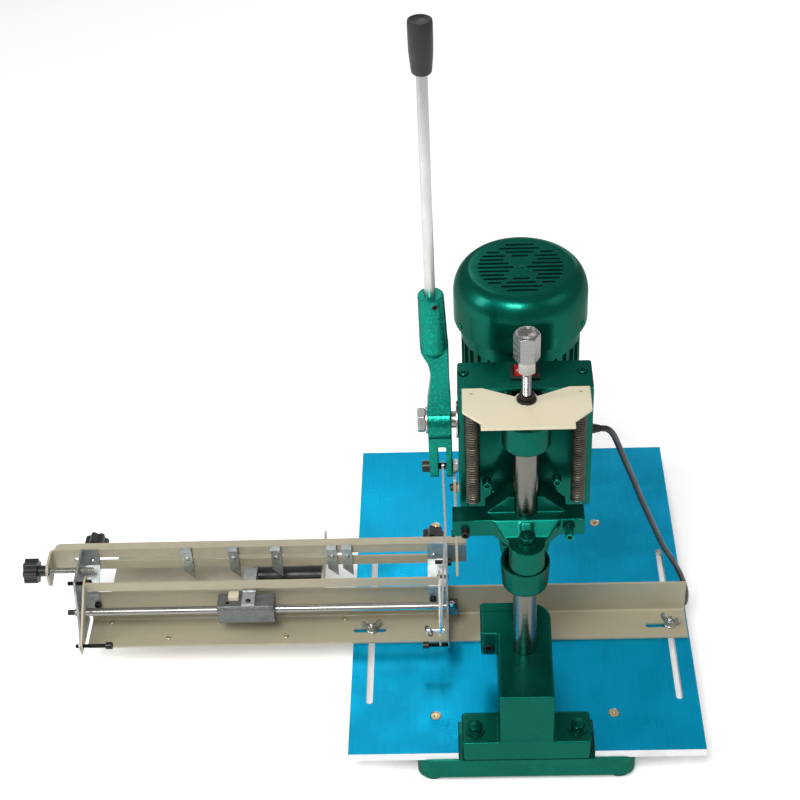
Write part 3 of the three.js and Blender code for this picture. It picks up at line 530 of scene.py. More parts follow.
def carry(node, material, bevel=0.4):
    """Shows a CAD node as it is, with its edges broken and a real material."""
    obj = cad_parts[node]
    dress(obj, material, bevel)
    return obj


# ---- fasteners
def threaded(axis, start, stop, a, b, radius, pitch=1.25, segments=28):
    """A bar with thread grooves along its length."""
    depth = pitch * 0.5
    profile = [(0, start)]
    height = start
    while height + pitch < stop:
        profile += [(radius - depth, height), (radius, height + pitch * 0.5)]
        height += pitch
    profile += [(radius - depth, height), (radius - depth, stop), (0, stop)]
    return turned(axis, profile, a, b, segments)


def hex_block(axis, start, stop, a, b, across_flats, turn=0, both_ends=True):
    """A hexagon with its corners chamfered at the outer end, or at both ends."""
    corner = across_flats / sqrt(3)
    shy = across_flats / 2 * 0.96
    drop = (corner - shy) * 0.55
    block = slab(axis, start, stop, hexagon(a, b, across_flats, turn))
    first = shy if both_ends else corner + 1
    profile = [(0, start), (first, start), (corner + 1, start + drop + 0.5), (corner + 1, stop - drop - 0.5),
               (shy, stop), (0, stop)]
    return common(block, turned(axis, profile, a, b, 48))


def nut(name, axis, start, stop, a, b, across_flats, bore, material, body, turn=0, **extra):
    block = hex_block(axis, start, stop, a, b, across_flats, turn)
    block = cut(block, bar(axis, start - 1, stop + 1, a, b, bore))
    return piece(name, block, material, body, 0.25, **extra)


def washer(name, axis, start, stop, a, b, radius, bore, material, body):
    ring = cut(bar(axis, start, stop, a, b, radius), bar(axis, start - 1, stop + 1, a, b, bore))
    return piece(name, ring, material, body, 0.2)


def socket_screw(name, axis, face, out, a, b, radius, shank, material, body, height=None, **extra):
    """A socket-head cap screw. Its head sits on face and points towards out (+1 or -1)."""
    tall = height or radius * 1.25
    tip = face + out * tall
    profile = [(0, face), (radius, face), (radius, tip - out * 0.6), (radius - 0.6, tip), (0, tip)]
    head = turned(axis, profile, a, b, 36)
    low, high = sorted((tip + out, tip - out * tall * 0.6))
    head = cut(head, slab(axis, low, high, hexagon(a, b, radius * 1.05)))
    if shank:
        low, high = sorted((face + out * 0.5, face - out * shank))
        head = join(head, threaded(axis, low, high, a, b, radius * 0.6, 0.9, 20))
    return piece(name, head, material, body, 0.15, **extra)


def cross_screw(name, axis, face, out, a, b, radius, material, body):
    """A low round head with a cross recess."""
    tall = radius * 0.45
    profile = [(0, face - out * 0.5), (radius, face - out * 0.5)]
    for angle in (radians(t) for t in (0, 25, 50, 72)):
        profile.append((radius * cos(angle), face + out * tall * sin(angle)))
    profile.append((0, face + out * tall))
    head = turned(axis, profile, a, b, 32)
    low, high = sorted((face + out * tall * 0.35, face + out * (tall + 1)))
    arm, thin = radius * 0.55, radius * 0.13
    for u, v in ((arm, thin), (thin, arm)):
        groove = [(a - u, b - v), (a + u, b - v), (a + u, b + v), (a - u, b + v)]
        head = cut(head, slab(axis, low, high, groove))
    return piece(name, head, material, body, 0)


def star(axis, start, stop, a, b, radius, lobe, lobes=7):
    """A star knob's outline pushed along an axis."""
    outline = []
    steps = 84
    for i in range(steps):
        angle = 2 * pi * i / steps
        reach = radius + lobe * cos(lobes * angle)
        outline.append((a + reach * cos(angle), b + reach * sin(angle)))
    return slab(axis, start, stop, outline)


# ---- mains lead
CORD_DIAMETER = 7
CORD_ROUTE = [
    (82.5, 48, 437), (88, 48.2, 436.4), (94.5, 52.5, 428), (101, 60.5, 410), (113, 74.5, 369),
    (128.5, 92.5, 317), (140, 103.5, 278), (156, 119, 228), (173, 136, 175), (191, 153, 129),
    (204.5, 166, 90), (212, 173, 62),
    (215, 178, 44), (216.2, 184, 27), (214.8, 192, 13), (212.5, 203, 5.6), (211.3, 216, 3.9), (211, 232, 3.9),
    (210.5, 262, 3.9), (210.5, 295, 3.9), (211, 330, 3.9), (211, 366.3, 3.9),
]
COIL_CENTRE = (172.5, 390)
COIL_TURNS = ((38.5, 3.9), (31.5, 3.9), (31.5, 10.9), (38.5, 10.9), (38.5, 17.9))
STEPS_PER_TURN = 24


def coil_points():
    """The coil's turns, one beside or on the next, with short crossings between them."""
    points = []
    crossing = 5
    for number, (radius, height) in enumerate(COIL_TURNS):
        last = number + 1 == len(COIL_TURNS)
        following = COIL_TURNS[number] if last else COIL_TURNS[number + 1]
        steps = STEPS_PER_TURN // 2 if last else STEPS_PER_TURN
        for i in range(steps):
            angle = 2 * pi * i / STEPS_PER_TURN
            share = 0 if last else max(0, (i - (STEPS_PER_TURN - crossing)) / crossing)
            share = share * share * (3 - 2 * share)
            reach = radius + (following[0] - radius) * share
            lift = height + (following[1] - height) * share
            x = COIL_CENTRE[0] + reach * cos(angle)
            y = COIL_CENTRE[1] + reach * sin(angle)
            points.append((x, y, lift))
    return points


def smooth_line(points, spacing=4.0):
    """A Catmull-Rom line through the points, resampled at about one spacing."""
    line = []
    for i in range(len(points) - 1):
        before = Vector(points[max(i - 1, 0)])
        start = Vector(points[i])
        end = Vector(points[i + 1])
        after = Vector(points[min(i + 2, len(points) - 1)])
        steps = max(1, round((end - start).length / spacing))
        for k in range(steps):
            t = k / steps
            square = (2 * before - 5 * start + 4 * end - after) * t * t
            cube = (3 * start - before - 3 * end + after) * t ** 3
            line.append(0.5 * (2 * start + (end - before) * t + square + cube))
    line.append(Vector(points[-1]))
    return line


def tube(points, radius, sides=16):
    """A closed tube along a line, with its section carried along without twist."""
    corners, faces = [], []
    side = Vector((0, 1, 0.2))
    for i, point in enumerate(points):
        ahead = points[min(i + 1, len(points) - 1)] - points[max(i - 1, 0)]
        ahead.normalize()
        side = (side - ahead * side.dot(ahead)).normalized()
        other = ahead.cross(side)
        for k in range(sides):
            angle = 2 * pi * k / sides
            corners.append(point + side * radius * cos(angle) + other * radius * sin(angle))
    for i in range(len(points) - 1):
        for k in range(sides):
            j = (k + 1) % sides
            faces.append([i * sides + k, i * sides + j, (i + 1) * sides + j, (i + 1) * sides + k])
    faces.append(list(range(sides)))
    faces.append([(len(points) - 1) * sides + k for k in range(sides)])
    return from_faces(corners, faces)


def build_plug():
    """A rewirable two-pin plug lying on the bench, with a ribbed neck."""
    low, high = limits("plug")
    middle = (low.x + high.x) / 2
    front = high.y - 12
    back = front - 32
    body = slab("z", 0.2, 17, rounded(middle - 18, middle + 18, back, front, 9))
    body = cast(body, 0.8, 6, 0.4)
    plug = piece("plug_body", body, BLACK_PLASTIC, "frame", replaces=["plug"])
    ribs = [(0, high.y)]
    for i in range(5):
        start = high.y - i * 2.4
        ribs += [(4.1, start), (4.1, start - 1.5), (4.8, start - 1.7), (4.8, start - 2.4)]
    ribs.append((0, high.y - 12.5))
    neck = piece("plug_neck", turned("y", ribs, middle, 5, 32), RUBBER, "frame", 0)
    pins = []
    for side in (-1, 1):
        pin = bar("y", low.y, back + 1, middle + side * 9.5, 9, 2.4)
        pins.append(piece(f"plug_pin_{'left' if side < 0 else 'right'}", pin, BRASS, "frame", 0.5))
    return [plug, neck, *pins]


def build_relief():
    """The ribbed rubber sleeve where the lead leaves the head."""
    wall, tip = limits("cord_gland")
    profile = [(0, wall.x), (5.9, wall.x)]
    for i in range(5):
        start = wall.x + 12.5 + i * 2
        reach = 5.9 - i * 0.35
        profile += [(reach, start), (reach - 0.15, start + 1.2)]
        profile += [(reach - 0.9, start + 1.4), (reach - 0.9, start + 1.9)]
    profile += [(4.1, tip.x), (0, tip.x)]
    sleeve = turned("x", profile, 48, 437, 32)
    return piece("cord_relief", sleeve, RUBBER, "head", 0, ["cord_gland"])


def build_cord():
    low, high = limits("plug")
    middle = (low.x + high.x) / 2
    last, turn_y = COIL_CENTRE[0] - COIL_TURNS[-1][0], COIL_CENTRE[1]
    tail = [(last, turn_y, 17.9), (last - 0.5, turn_y - 16, 17.9), (last + 4, turn_y - 32, 17.4),
            (last + 13, turn_y - 46, 14.5), (last + 23, turn_y - 58, 9.5), (middle - 2, turn_y - 69, 5.8),
            (middle, high.y + 1, 5)]
    line = smooth_line(CORD_ROUTE[:-1] + coil_points() + tail)
    lead = tube(line, CORD_DIAMETER / 2, 14)
    blended("mains_lead", lead, RUBBER, ("power_cord", "cord_coil"))
    parts = [build_relief(), *build_plug()]


# ---- base, table and column block
def build_base():
    body = slab("z", 8, 38, rounded(-129, 129, -80, 430, 16))
    middle = (-80 + 430) / 2
    body = cut(body, slab("z", 7, 29, rounded(-118, 118, -21, middle - 3.5, 10)))
    body = cut(body, slab("z", 7, 29, rounded(-118, 118, middle + 3.5, 419, 10)))
    for x in (-110, 110):
        for y in (-61, 411):
            body = join(body, bar("z", 0, 9, x, y, 15, 17, segments=64))
    for x in (-60, 60):
        body = drilled(body, "z", 7, 39, x, FOOT_BOLT_Y, 5.3)
    piece("base_casting", body, GREEN, "frame", 1.4, ["base"])


def build_table():
    low, high = limits("table")
    outline = [(-210, -78), (-80, -78), (-80, -31), (80, -31), (80, -78), (210, -78), (210, 462), (-210, 462)]
    plate = slab("z", low.z, high.z, outline)
    for x in (-187, 187):
        plate = cut(plate, slab("z", low.z - 1, high.z + 1, rounded(x - 4, x + 4, -1, 256, 3.99)))
    plate = drilled(plate, "z", high.z - 6, high.z + 1, *SPINDLE, 25.3, segments=72)
    screws = ((-106.5, -21), (106.5, -21), (107, 309), (-107, 309))
    for x, y in screws:
        plate = drilled(plate, "z", high.z - 4.5, high.z + 0.1, x, y, 3.6, 6.9, segments=64)
    table = piece("table_plate", plate, FILM, "frame", 0.5, ["table"])
    table.data.materials.append(RAW_EDGE)
    for polygon in table.data.polygons:
        if polygon.normal.z < 0.9:
            polygon.material_index = 1
    for number, (x, y) in enumerate(screws, 1):
        top = high.z - 0.3
        head = bar("z", top - 3.6, top, x, y, 3.4, 5.9, segments=40)
        head = cut(head, slab("z", top - 2.2, top + 1, hexagon(x, y, 4.4)))
        piece(f"table_screw_{number}", head, BRASS, "frame", 0.15)
    foot, face = high.z - 5.7, high.z - 0.1
    profile = [(0, foot), (25, foot), (25, high.z - 0.6), (24.4, face), (0, face)]
    pad = turned("z", profile, *SPINDLE)
    for radius in (3.2, 4.2):
        ring = bar("z", high.z - 0.5, high.z + 1, *SPINDLE, radius + 0.3)
        ring = drilled(ring, "z", 40, 60, *SPINDLE, radius)
        pad = cut(pad, ring)
    piece("cutting_pad_disc", pad, WHITE_PLASTIC, "frame", 0, ["cutting_pad"])


def build_column_block():
    foot = slab("z", 38.3, 69, rounded(-75.5, 75.5, -80, -33, 5))
    upright = box(-31.5, 31.5, -77.5, -33, 38.3, 145)
    corner = 26
    reach = [(-31.5, -34), (31.5, -34)]
    reach += arc(33 - corner, 73 - corner, corner, 0, 90, 14)
    reach += arc(-31.5 + 6, 73 - 6, 6, 90, 180, 5)
    body = join(foot, upright, slab("z", 52.5, 145, reach))
    body = join(body, slab("z", 107, 145, rounded(-51, -20, 22.5, 73, 5)))
    body = join(body, slab("x", -31, 31, [(-80, 69), (-77.5, 69), (-77.5, 75)]))
    body = cut(body, box(-52, 1.2, 55.5, 57.9, 106, 146), box(-1.2, 1.2, 5, 57.5, 106, 146))
    body = cast(body, 1.1, 4, 0.25)
    body = drilled(body, "z", 55, 146, 0, 0, 13.75, segments=96)
    body = cut(body, bar("y", 21.5, 31.5, *PINCH, 7.2), bar("y", 21.5, 74, *PINCH, 4.4))
    piece("column_clamp_block", body, GREEN, "frame", 0, ["column_block"])
    socket_screw("block_pinch_screw", "y", 31, -1, *PINCH, 6.5, 40, BLACK_STEEL, "frame",
                 replaces=["clamp_bolt"])
    for name, x in (("left", -60), ("right", 60)):
        washer(f"foot_washer_{name}", "z", 69.1, 71, x, FOOT_BOLT_Y, 11.5, 5.2, GREEN, "frame")
        head = hex_block("z", 71.2, 78.2, x, FOOT_BOLT_Y, 14.5, 12, both_ends=False)
        head = join(head, bar("z", 71, 72, x, FOOT_BOLT_Y, 8.2), bar("z", 11, 72, x, FOOT_BOLT_Y, 5))
        piece(f"foot_hex_bolt_{name}", head, GREEN, "frame", 0.3, [f"foot_bolt_{name}"])


# ---- column and what stands on it
def rack_gaps():
    """The gaps between the rack's teeth, as bars across the column's far side."""
    pitch = pi * TOOTH_MODULE
    line = PINION_Y - PITCH_RADIUS
    tip, root = line + 0.8 * TOOTH_MODULE, line - 1.1 * TOOTH_MODULE
    slope = tan(radians(20))
    half = pitch * 0.29
    bottom, top = PINION_Z - 55 - 3 * pitch, PINION_Z + 3 * pitch
    gaps = box(-20, 20, tip, 30, bottom - pitch, top + pitch)
    count = round((top - bottom) / pitch)
    for i in range(count + 1):
        z = PINION_Z + (i - round(count * 0.72)) * pitch
        wide = half + (tip - line) * slope
        narrow = half - (line - root) * slope
        outline = [(root, z - narrow), (tip + 1, z - wide - slope)]
        outline += [(tip + 1, z + wide + slope), (root, z + narrow)]
        gaps = join(gaps, slab("x", -20, 20, outline))
    return gaps


def build_column():
    low, high = limits("column")
    top = high.z
    profile = [(0, low.z), (12.5, low.z), (13.5, low.z + 1), (13.5, top - 1), (12.5, top), (0, top)]
    body = cut(turned("z", profile, 0, 0, 96), bar("z", top - 42, top + 1, 0, 0, 5.2), rack_gaps())
    piece("column_bar", body, STEEL, "frame", 0, ["column"])

    low, high = limits("spring_plate")
    half, narrow = 66.6, 48
    outline = [(-narrow, -46), (narrow, -46), (narrow, -36), (half, -18), (half, 19.6), (45, 19.6)]
    outline += arc(0, 0, 12.5, 22, 158, 12)
    outline += [(-45, 19.6), (-half, 19.6), (-half, -18), (-narrow, -36)]
    plate = cut(slab("z", low.z, high.z, outline), bar("z", low.z - 1, high.z + 1, 0, 0, 5.3))
    for x in (-56.5, 56.5):
        plate = drilled(plate, "z", low.z - 1, high.z + 1, x, 11, 1.6, segments=24)
    # The sheet takes the lighter beige copy, painted light for its top lit from above.
    piece("spring_plate_sheet", plate, LIT_BEIGE, "frame", 0.35, ["spring_plate"])

    low, high = limits("top_stud")
    stud = join(bar("z", low.z, 520, 0, 0, 4.9), threaded("z", 519.9, high.z, 0, 0, 5, 1.5, 36))
    piece("stud_rod", stud, PALE_STEEL, "frame", 0, ["top_stud"])
    washer("plate_washer", "z", 518.2, 519.4, 0, 0, 11.2, 5.3, NUT_STEEL, "frame")
    profile = [(5.3, 519.5), (10, 519.5), (10, 520.9), (8.6, 521.6), (5.3, 521.6), (5.3, 519.5)]
    piece("plate_nut_flange", turned("z", profile, 0, 0, 48), BLACK_STEEL, "frame", 0.2)
    nut("plate_hex_nut", "z", 521.5, 527, 0, 0, 15, 5.3, BLACK_STEEL, "frame", 10,
        replaces=["plate_nut"])
    nut("lock_hex_nut", "z", 556, 572, 0, 0, 17, 5.3, NUT_STEEL, "frame", 30,
        replaces=["lock_nut"])
    cap = hex_block("z", 572.5, 604, 0, 0, 24, 0)
    dish = turned("z", [(0, 601.2), (9.3, 603.4), (9.3, 606), (0, 606)], 0, 0, 48)
    cap = cut(cap, dish, bar("z", 570, 601.4, 0, 0, 5.3))
    piece("long_hex_nut", cap, PALE_STEEL, "frame", 0.3, ["long_nut"])


def build_springs():
    """Close-wound extension springs, drawn as coils at rest; the real ones stretch as the head goes down."""
    wire, mean = 1.05, 6.8
    for name in ("left", "right"):
        low, high = limits(f"spring_{name}")
        x = (low.x + high.x) / 2
        y = (low.y + high.y) / 2
        bottom, top = low.z + 1.4, high.z - 1.4
        turns, per_turn = 46, 24
        line = []
        for i in range(turns * per_turn + 1):
            angle = 2 * pi * i / per_turn
            height = bottom + (top - bottom) * (i / (turns * per_turn))
            line.append(Vector((x + mean * cos(angle), y + mean * sin(angle), height)))
        coil = tube(line, wire, 8)
        blended(f"spring_coil_{name}", coil, SPRING_STEEL, (f"spring_{name}",))


# ---- head
def build_head():
    half, wall, near, far, bottom, top = 71.5, 9, 20.6, 66, 350, 513
    inner = half - wall
    body = bar("z", 461, 496, 0, 0, 26, segments=64)
    body = join(body, box(-17, 17, 8, 54, 461, 496), box(-inner - 1, inner + 1, 44, 54, 300, 496))
    for side in (-1, 1):
        x0, x1 = sorted((side * inner, side * half))
        body = join(body, box(x0, x1, near, far, bottom, top))
    body = join(body, box(-inner - 1, inner + 1, 44, SPINDLE_Y, bottom, bottom + 11))
    body = join(body, bar("z", bottom, bottom + 11, *SPINDLE, 70, segments=96))
    body = join(body, slab("y", 22, 54, [(-24, 258), (24, 258), (36, 351), (-36, 351)]))
    body = join(body, bar("z", 254, 288, 0, 0, 26, 28, segments=64), box(-22, 22, 10, 40, 256, 286))
    body = join(body, bar("z", 214, 351, *SPINDLE, 27, 34, segments=64))
    body = join(body, slab("x", -8, 8, [(50, 262), (142, 230), (SPINDLE_Y, 352), (50, 352)]))
    for x in (-40, 40):
        body = join(body, slab("x", x - 3, x + 3, [(53, 360), (70, 360), (53, 440)]))
    body = cut(body, bar("x", -9, 9, *PINION, PITCH_RADIUS + 4), box(-9, 9, 9, PINION_Y, 436, 491))
    body = drilled(body, "z", 268, 290, 0, 0, 22.5, segments=72)
    body = cast(body, 1.5, 4, 0.22)
    body = drilled(body, "z", 200, 500, 0, 0, 13.8, segments=96)
    body = cut(body, bar("z", 200, 370, *SPINDLE, 15.5), bar("x", -80, 80, *PINION, 9.3))
    body = drilled(body, "x", 59, 73, 48, 437, 6.3)
    piece("head_frame", body, GREEN, "head", 0, ["head_casting"])
    for number, (x, z) in enumerate(((-41, 364.5), (36.5, 367)), 1):
        socket_screw(f"web_screw_{number}", "y", 44.3, -1, x, z, 5, 0, HAMMERED, "head")
    ring = tube_ring("x", -73.4, -71.6, *PINION, 20, 9.4, 72)
    piece("shaft_flange", ring, NUT_STEEL, "head", 0.3)


def build_yoke():
    outline = [(-80, -19), (-36, -19), (-17, -40), (17, -40), (36, -19), (63.5, -19), (63.5, 5), (27, 5),
               (21, 20.2), (-21, 20.2), (-27, 5), (-80, 5)]
    body = slab("z", 343.5, 366, outline)
    body = join(body, slab("y", -6, 19, [(-44, 365), (-19, 388), (19, 388), (44, 365)]))
    body = cut(body, slab("x", -60, 60, [(-18, 366.5), (-70, 366.5), (-70, 352), (-32, 352)]))
    body = join(body, turned("z", [(0, 320), (18.5, 320), (19.5, 323), (19.5, 352), (0, 352)], *NOSE))
    body = join(body, slab("x", -6, 6, [(-22, 344), (-22, 366), (-34, 353), (-36, 330)]))
    body = cast(body, 1.0, 4, 0.25)
    body = cut(body, bar("z", 300, 395, 0, 0, 13.85, segments=96), bar("z", 326, 353, *NOSE, 5.3))
    piece("yoke_casting", body, GREEN, "head", 0, ["yoke"])
    for level in range(3):
        start, radius = 352.1 + level * 1.65, 12.5 - 0.8 * level
        washer(f"nose_washer_{level + 1}", "z", start, start + 1.5, *NOSE, radius, 5.2, GREEN, "head")
    head = hex_block("z", 357.2, 364.2, *NOSE, 16, 5, both_ends=False)
    head = join(head, bar("z", 328, 358, *NOSE, 5))
    piece("nose_hex_bolt", head, GREEN, "head", 0.3, ["nose_bolt"])
    washer("yoke_lock_nut", "y", -24.5, -19.4, 46, 354.7, 6.6, 3, GREEN, "head")
    socket_screw("yoke_screw_right", "y", -25, -1, 46, 354.7, 4.8, 0, HAMMERED, "head", 11)
    socket_screw("yoke_screw_left", "y", -19.2, -1, -66, 351, 4.8, 0, BLACK_STEEL, "head", 7)


def build_switch():
    low, high = limits("switch_cover")
    plate = slab("z", low.z, high.z, rounded(low.x, high.x, low.y, high.y, 3))
    plate = cut(plate, box(-14, 14, 36.4, 58.4, low.z - 1, high.z + 1))
    screws = ((-64.5, 47.5), (61, 47.5))
    for x, y in screws:
        plate = drilled(plate, "z", high.z - 1.6, high.z + 1, x, y, 5.6)
    piece("switch_plate", plate, GREEN, "head", 0.35, ["switch_cover"])
    for number, (x, y) in enumerate(screws, 1):
        socket_screw(f"plate_screw_{number}", "z", high.z - 1.5, 1, x, y, 4.6, 0, GREEN, "head", 3.4)

    low, high = limits("rocker_bezel")
    mid = (low.y + high.y) / 2
    seat = high.z - 1.9
    rim = slab("z", seat, high.z, rounded(low.x, high.x, low.y, high.y, 1.5))
    rim = join(rim, box(-13.7, 13.7, mid - 10.7, mid + 10.7, low.z, seat + 0.5))
    rim = cut(rim, box(-11.9, 11.9, mid - 8.9, mid + 8.9, seat - 9, high.z + 1))
    piece("switch_bezel", rim, BLACK_PLASTIC, "head", 0.4, ["rocker_bezel"])

    low, high = limits("rocker")
    top = high.z
    curve = [(-11, top - 6.7), (0, top - 10.2), (11, top - 6.7), (11, top)]
    curve += [(x, top - 2.6 + 2.6 * (abs(x) / 11) ** 2) for x in (8, 5, 2, 0, -2, -5, -8)]
    curve.append((-11, top))
    key = slab("y", mid - 8.4, mid + 8.4, curve)
    ring = tube_ring("z", top - 3, top + 1, -6.3, mid, 2.4, 1.7, 28)
    key = cut(key, ring, box(6, 6.7, mid - 2.4, mid + 2.4, top - 3, top + 1))
    piece("rocker_key", key, RED_PLASTIC, "switch", 0.4, ["rocker"])
    mark = tube_ring("z", top - 3, top - 1.5, -6.3, mid, 2.35, 1.75, 28)
    mark = join(mark, box(6.05, 6.65, mid - 2.35, mid + 2.35, top - 3, top - 1.55))
    piece("rocker_marks", mark, WHITE_PLASTIC, "switch", 0)


# ---- motor and spindle
def build_motor():
    body = bar("z", 362, 522, *SPINDLE, 63.5, segments=96)
    fins = 30
    for i in range(fins):
        angle = 360 * (i + 0.5) / fins
        fin = slab("z", 384, 488, [(61, -1.6), (66.3, -1.1), (66.3, 1.1), (61, 1.6)])
        body = join(body, moved(fin, (*SPINDLE, 0), angle))
    for start, stop in ((362, 384), (488, 522)):
        body = join(body, bar("z", start, stop, *SPINDLE, 66.5, segments=96))
    body = drilled(body, "z", 350, 530, *SPINDLE, 8.5)
    piece("motor_housing", body, GREEN, "head", 0.7, ["motor_body"])

    outside, rim, top, wall = 74, 510, 572, 2.2
    across, rise = 20, 30
    angles = [radians(90 * i / 16) for i in range(17)]
    profile = [(66.9, rim), (outside, rim)]
    profile += [(outside - across * (1 - cos(t)), top - rise * (1 - sin(t))) for t in angles]
    profile += [(0, top), (0, top - wall)]
    across_inside, rise_inside = across - wall, rise - wall
    profile += [(outside - across + across_inside * cos(t), top - rise + rise_inside * sin(t))
                for t in reversed(angles)]
    profile += [(outside - wall, rim + 3), (66.9, rim + 3), (66.9, rim)]
    cover = turned("z", profile, *SPINDLE, 128)
    reach, pitch, plain = 46.5, 7.2, 7
    for row in range(-6, 7):
        depth = row * pitch
        edge = sqrt(max(0, reach ** 2 - depth ** 2))
        spans = []
        if abs(depth) + plain < edge - 5:
            spans += [(-edge, -abs(depth) * 0.75 - plain), (abs(depth) * 0.75 + plain, edge)]
        if abs(depth) > 20:
            inside = min(edge, (abs(depth) - 10) * 0.9)
            spans = [(-edge, -inside - 5)] if edge - inside > 14 else []
            spans += [(-inside + 1, inside - 1)]
            spans += [(inside + 5, edge)] if edge - inside > 14 else []
        for start, stop in spans:
            y = SPINDLE_Y + depth
            cover = cut(cover, slab("z", top - 6, top + 1, rounded(start, stop, y - 1.7, y + 1.7, 1.69, 4)))
    dome = [(0, top - 1), (3.4, top - 1), (3.4, top + 0.1), (2.6, top + 0.6), (0, top + 0.6)]
    cover = join(cover, turned("z", dome, *SPINDLE))
    piece("fan_hood", cover, GREEN, "head", 0.5, ["fan_cover"])
    for number, angle in enumerate((205, 335, 90), 1):
        turn = radians(angle)
        x, y = 72.6 * cos(turn), SPINDLE_Y + 72.6 * sin(turn)
        head = turned("z", [(0, 0), (3.6, 0), (3.6, 2), (2.6, 2.8), (0, 2.8)], 0, 0, 32)
        head = cut(head, slab("z", 1.4, 4, hexagon(0, 0, 3)))
        outward = Matrix.Rotation(turn, 4, "Z") @ Matrix.Rotation(pi / 2, 4, "Y")
        head.data.transform(Matrix.Translation((x, y, 517)) @ outward)
        piece(f"hood_screw_{number}", head, HAMMERED, "head", 0.15)


def build_spindle():
    profile = [(0, 205), (8, 205), (8, 222), (14, 222), (14, 330), (8, 330), (8, 547), (7, 548), (0, 548)]
    shaft = cut(turned("z", profile, *SPINDLE), bar("z", 200, 226, *SPINDLE, 4.5))
    piece("spindle", shaft, STEEL, "spindle", 0.3, ["spindle_shaft"])
    profile = [(0, 168), (8.4, 168), (9, 169), (12, 172.5), (16, 180), (16, 184), (15.2, 184.6)]
    profile += [(15.2, 186.4), (16, 187), (16, 203.7), (15.2, 204.5), (0, 204.5)]
    chuck = cut(turned("z", profile, *SPINDLE), bar("z", 160, 210, *SPINDLE, 4.3))
    for angle in (0, 90, 180, 270):
        chuck = cut(chuck, moved(box(-4, 4, 13.6, 20, 190, 200), (*SPINDLE, 0), angle))
    piece("chuck", chuck, NUT_STEEL, "spindle", 0.3, ["drill_chuck"])
    profile = [(2.6, 222), (4, 222), (4, 110), (2.75, 105.5), (2.6, 105.5), (2.6, 222)]
    drill = turned("z", profile, *SPINDLE, 48)
    drill = cut(drill, slab("x", 0, 6, rounded(SPINDLE_Y - 1.6, SPINDLE_Y + 1.6, 128, 160, 1.5)))
    piece("hollow_drill_bit", drill, STEEL, "spindle", 0, ["hollow_drill"])
    carry("cooling_fan", BLACK_PLASTIC, 0.4)


# ---- lever and link
def pinion_outline():
    """Involute teeth around the pinion, with a tooth gap facing the rack."""
    pressure = radians(20)
    base = PITCH_RADIUS * cos(pressure)
    tip = PITCH_RADIUS + 0.8 * TOOTH_MODULE
    half_at_pitch = pi / PINION_TEETH / 2 * 0.84
    offset = tan(pressure) - pressure
    flank = [(PITCH_RADIUS - 1.15 * TOOTH_MODULE, half_at_pitch + offset)]
    for i in range(7):
        radius = base + (tip - base) * i / 6
        angle = acos(base / radius)
        flank.append((radius, half_at_pitch + offset - (tan(angle) - angle)))
    outline = []
    for tooth in range(PINION_TEETH):
        middle = pi + 2 * pi * tooth / PINION_TEETH
        rising = [(radius, middle - half) for radius, half in flank]
        falling = [(radius, middle + half) for radius, half in reversed(flank)]
        for radius, angle in rising + falling:
            outline.append((PINION_Y + radius * cos(angle), PINION_Z + radius * sin(angle)))
    return outline


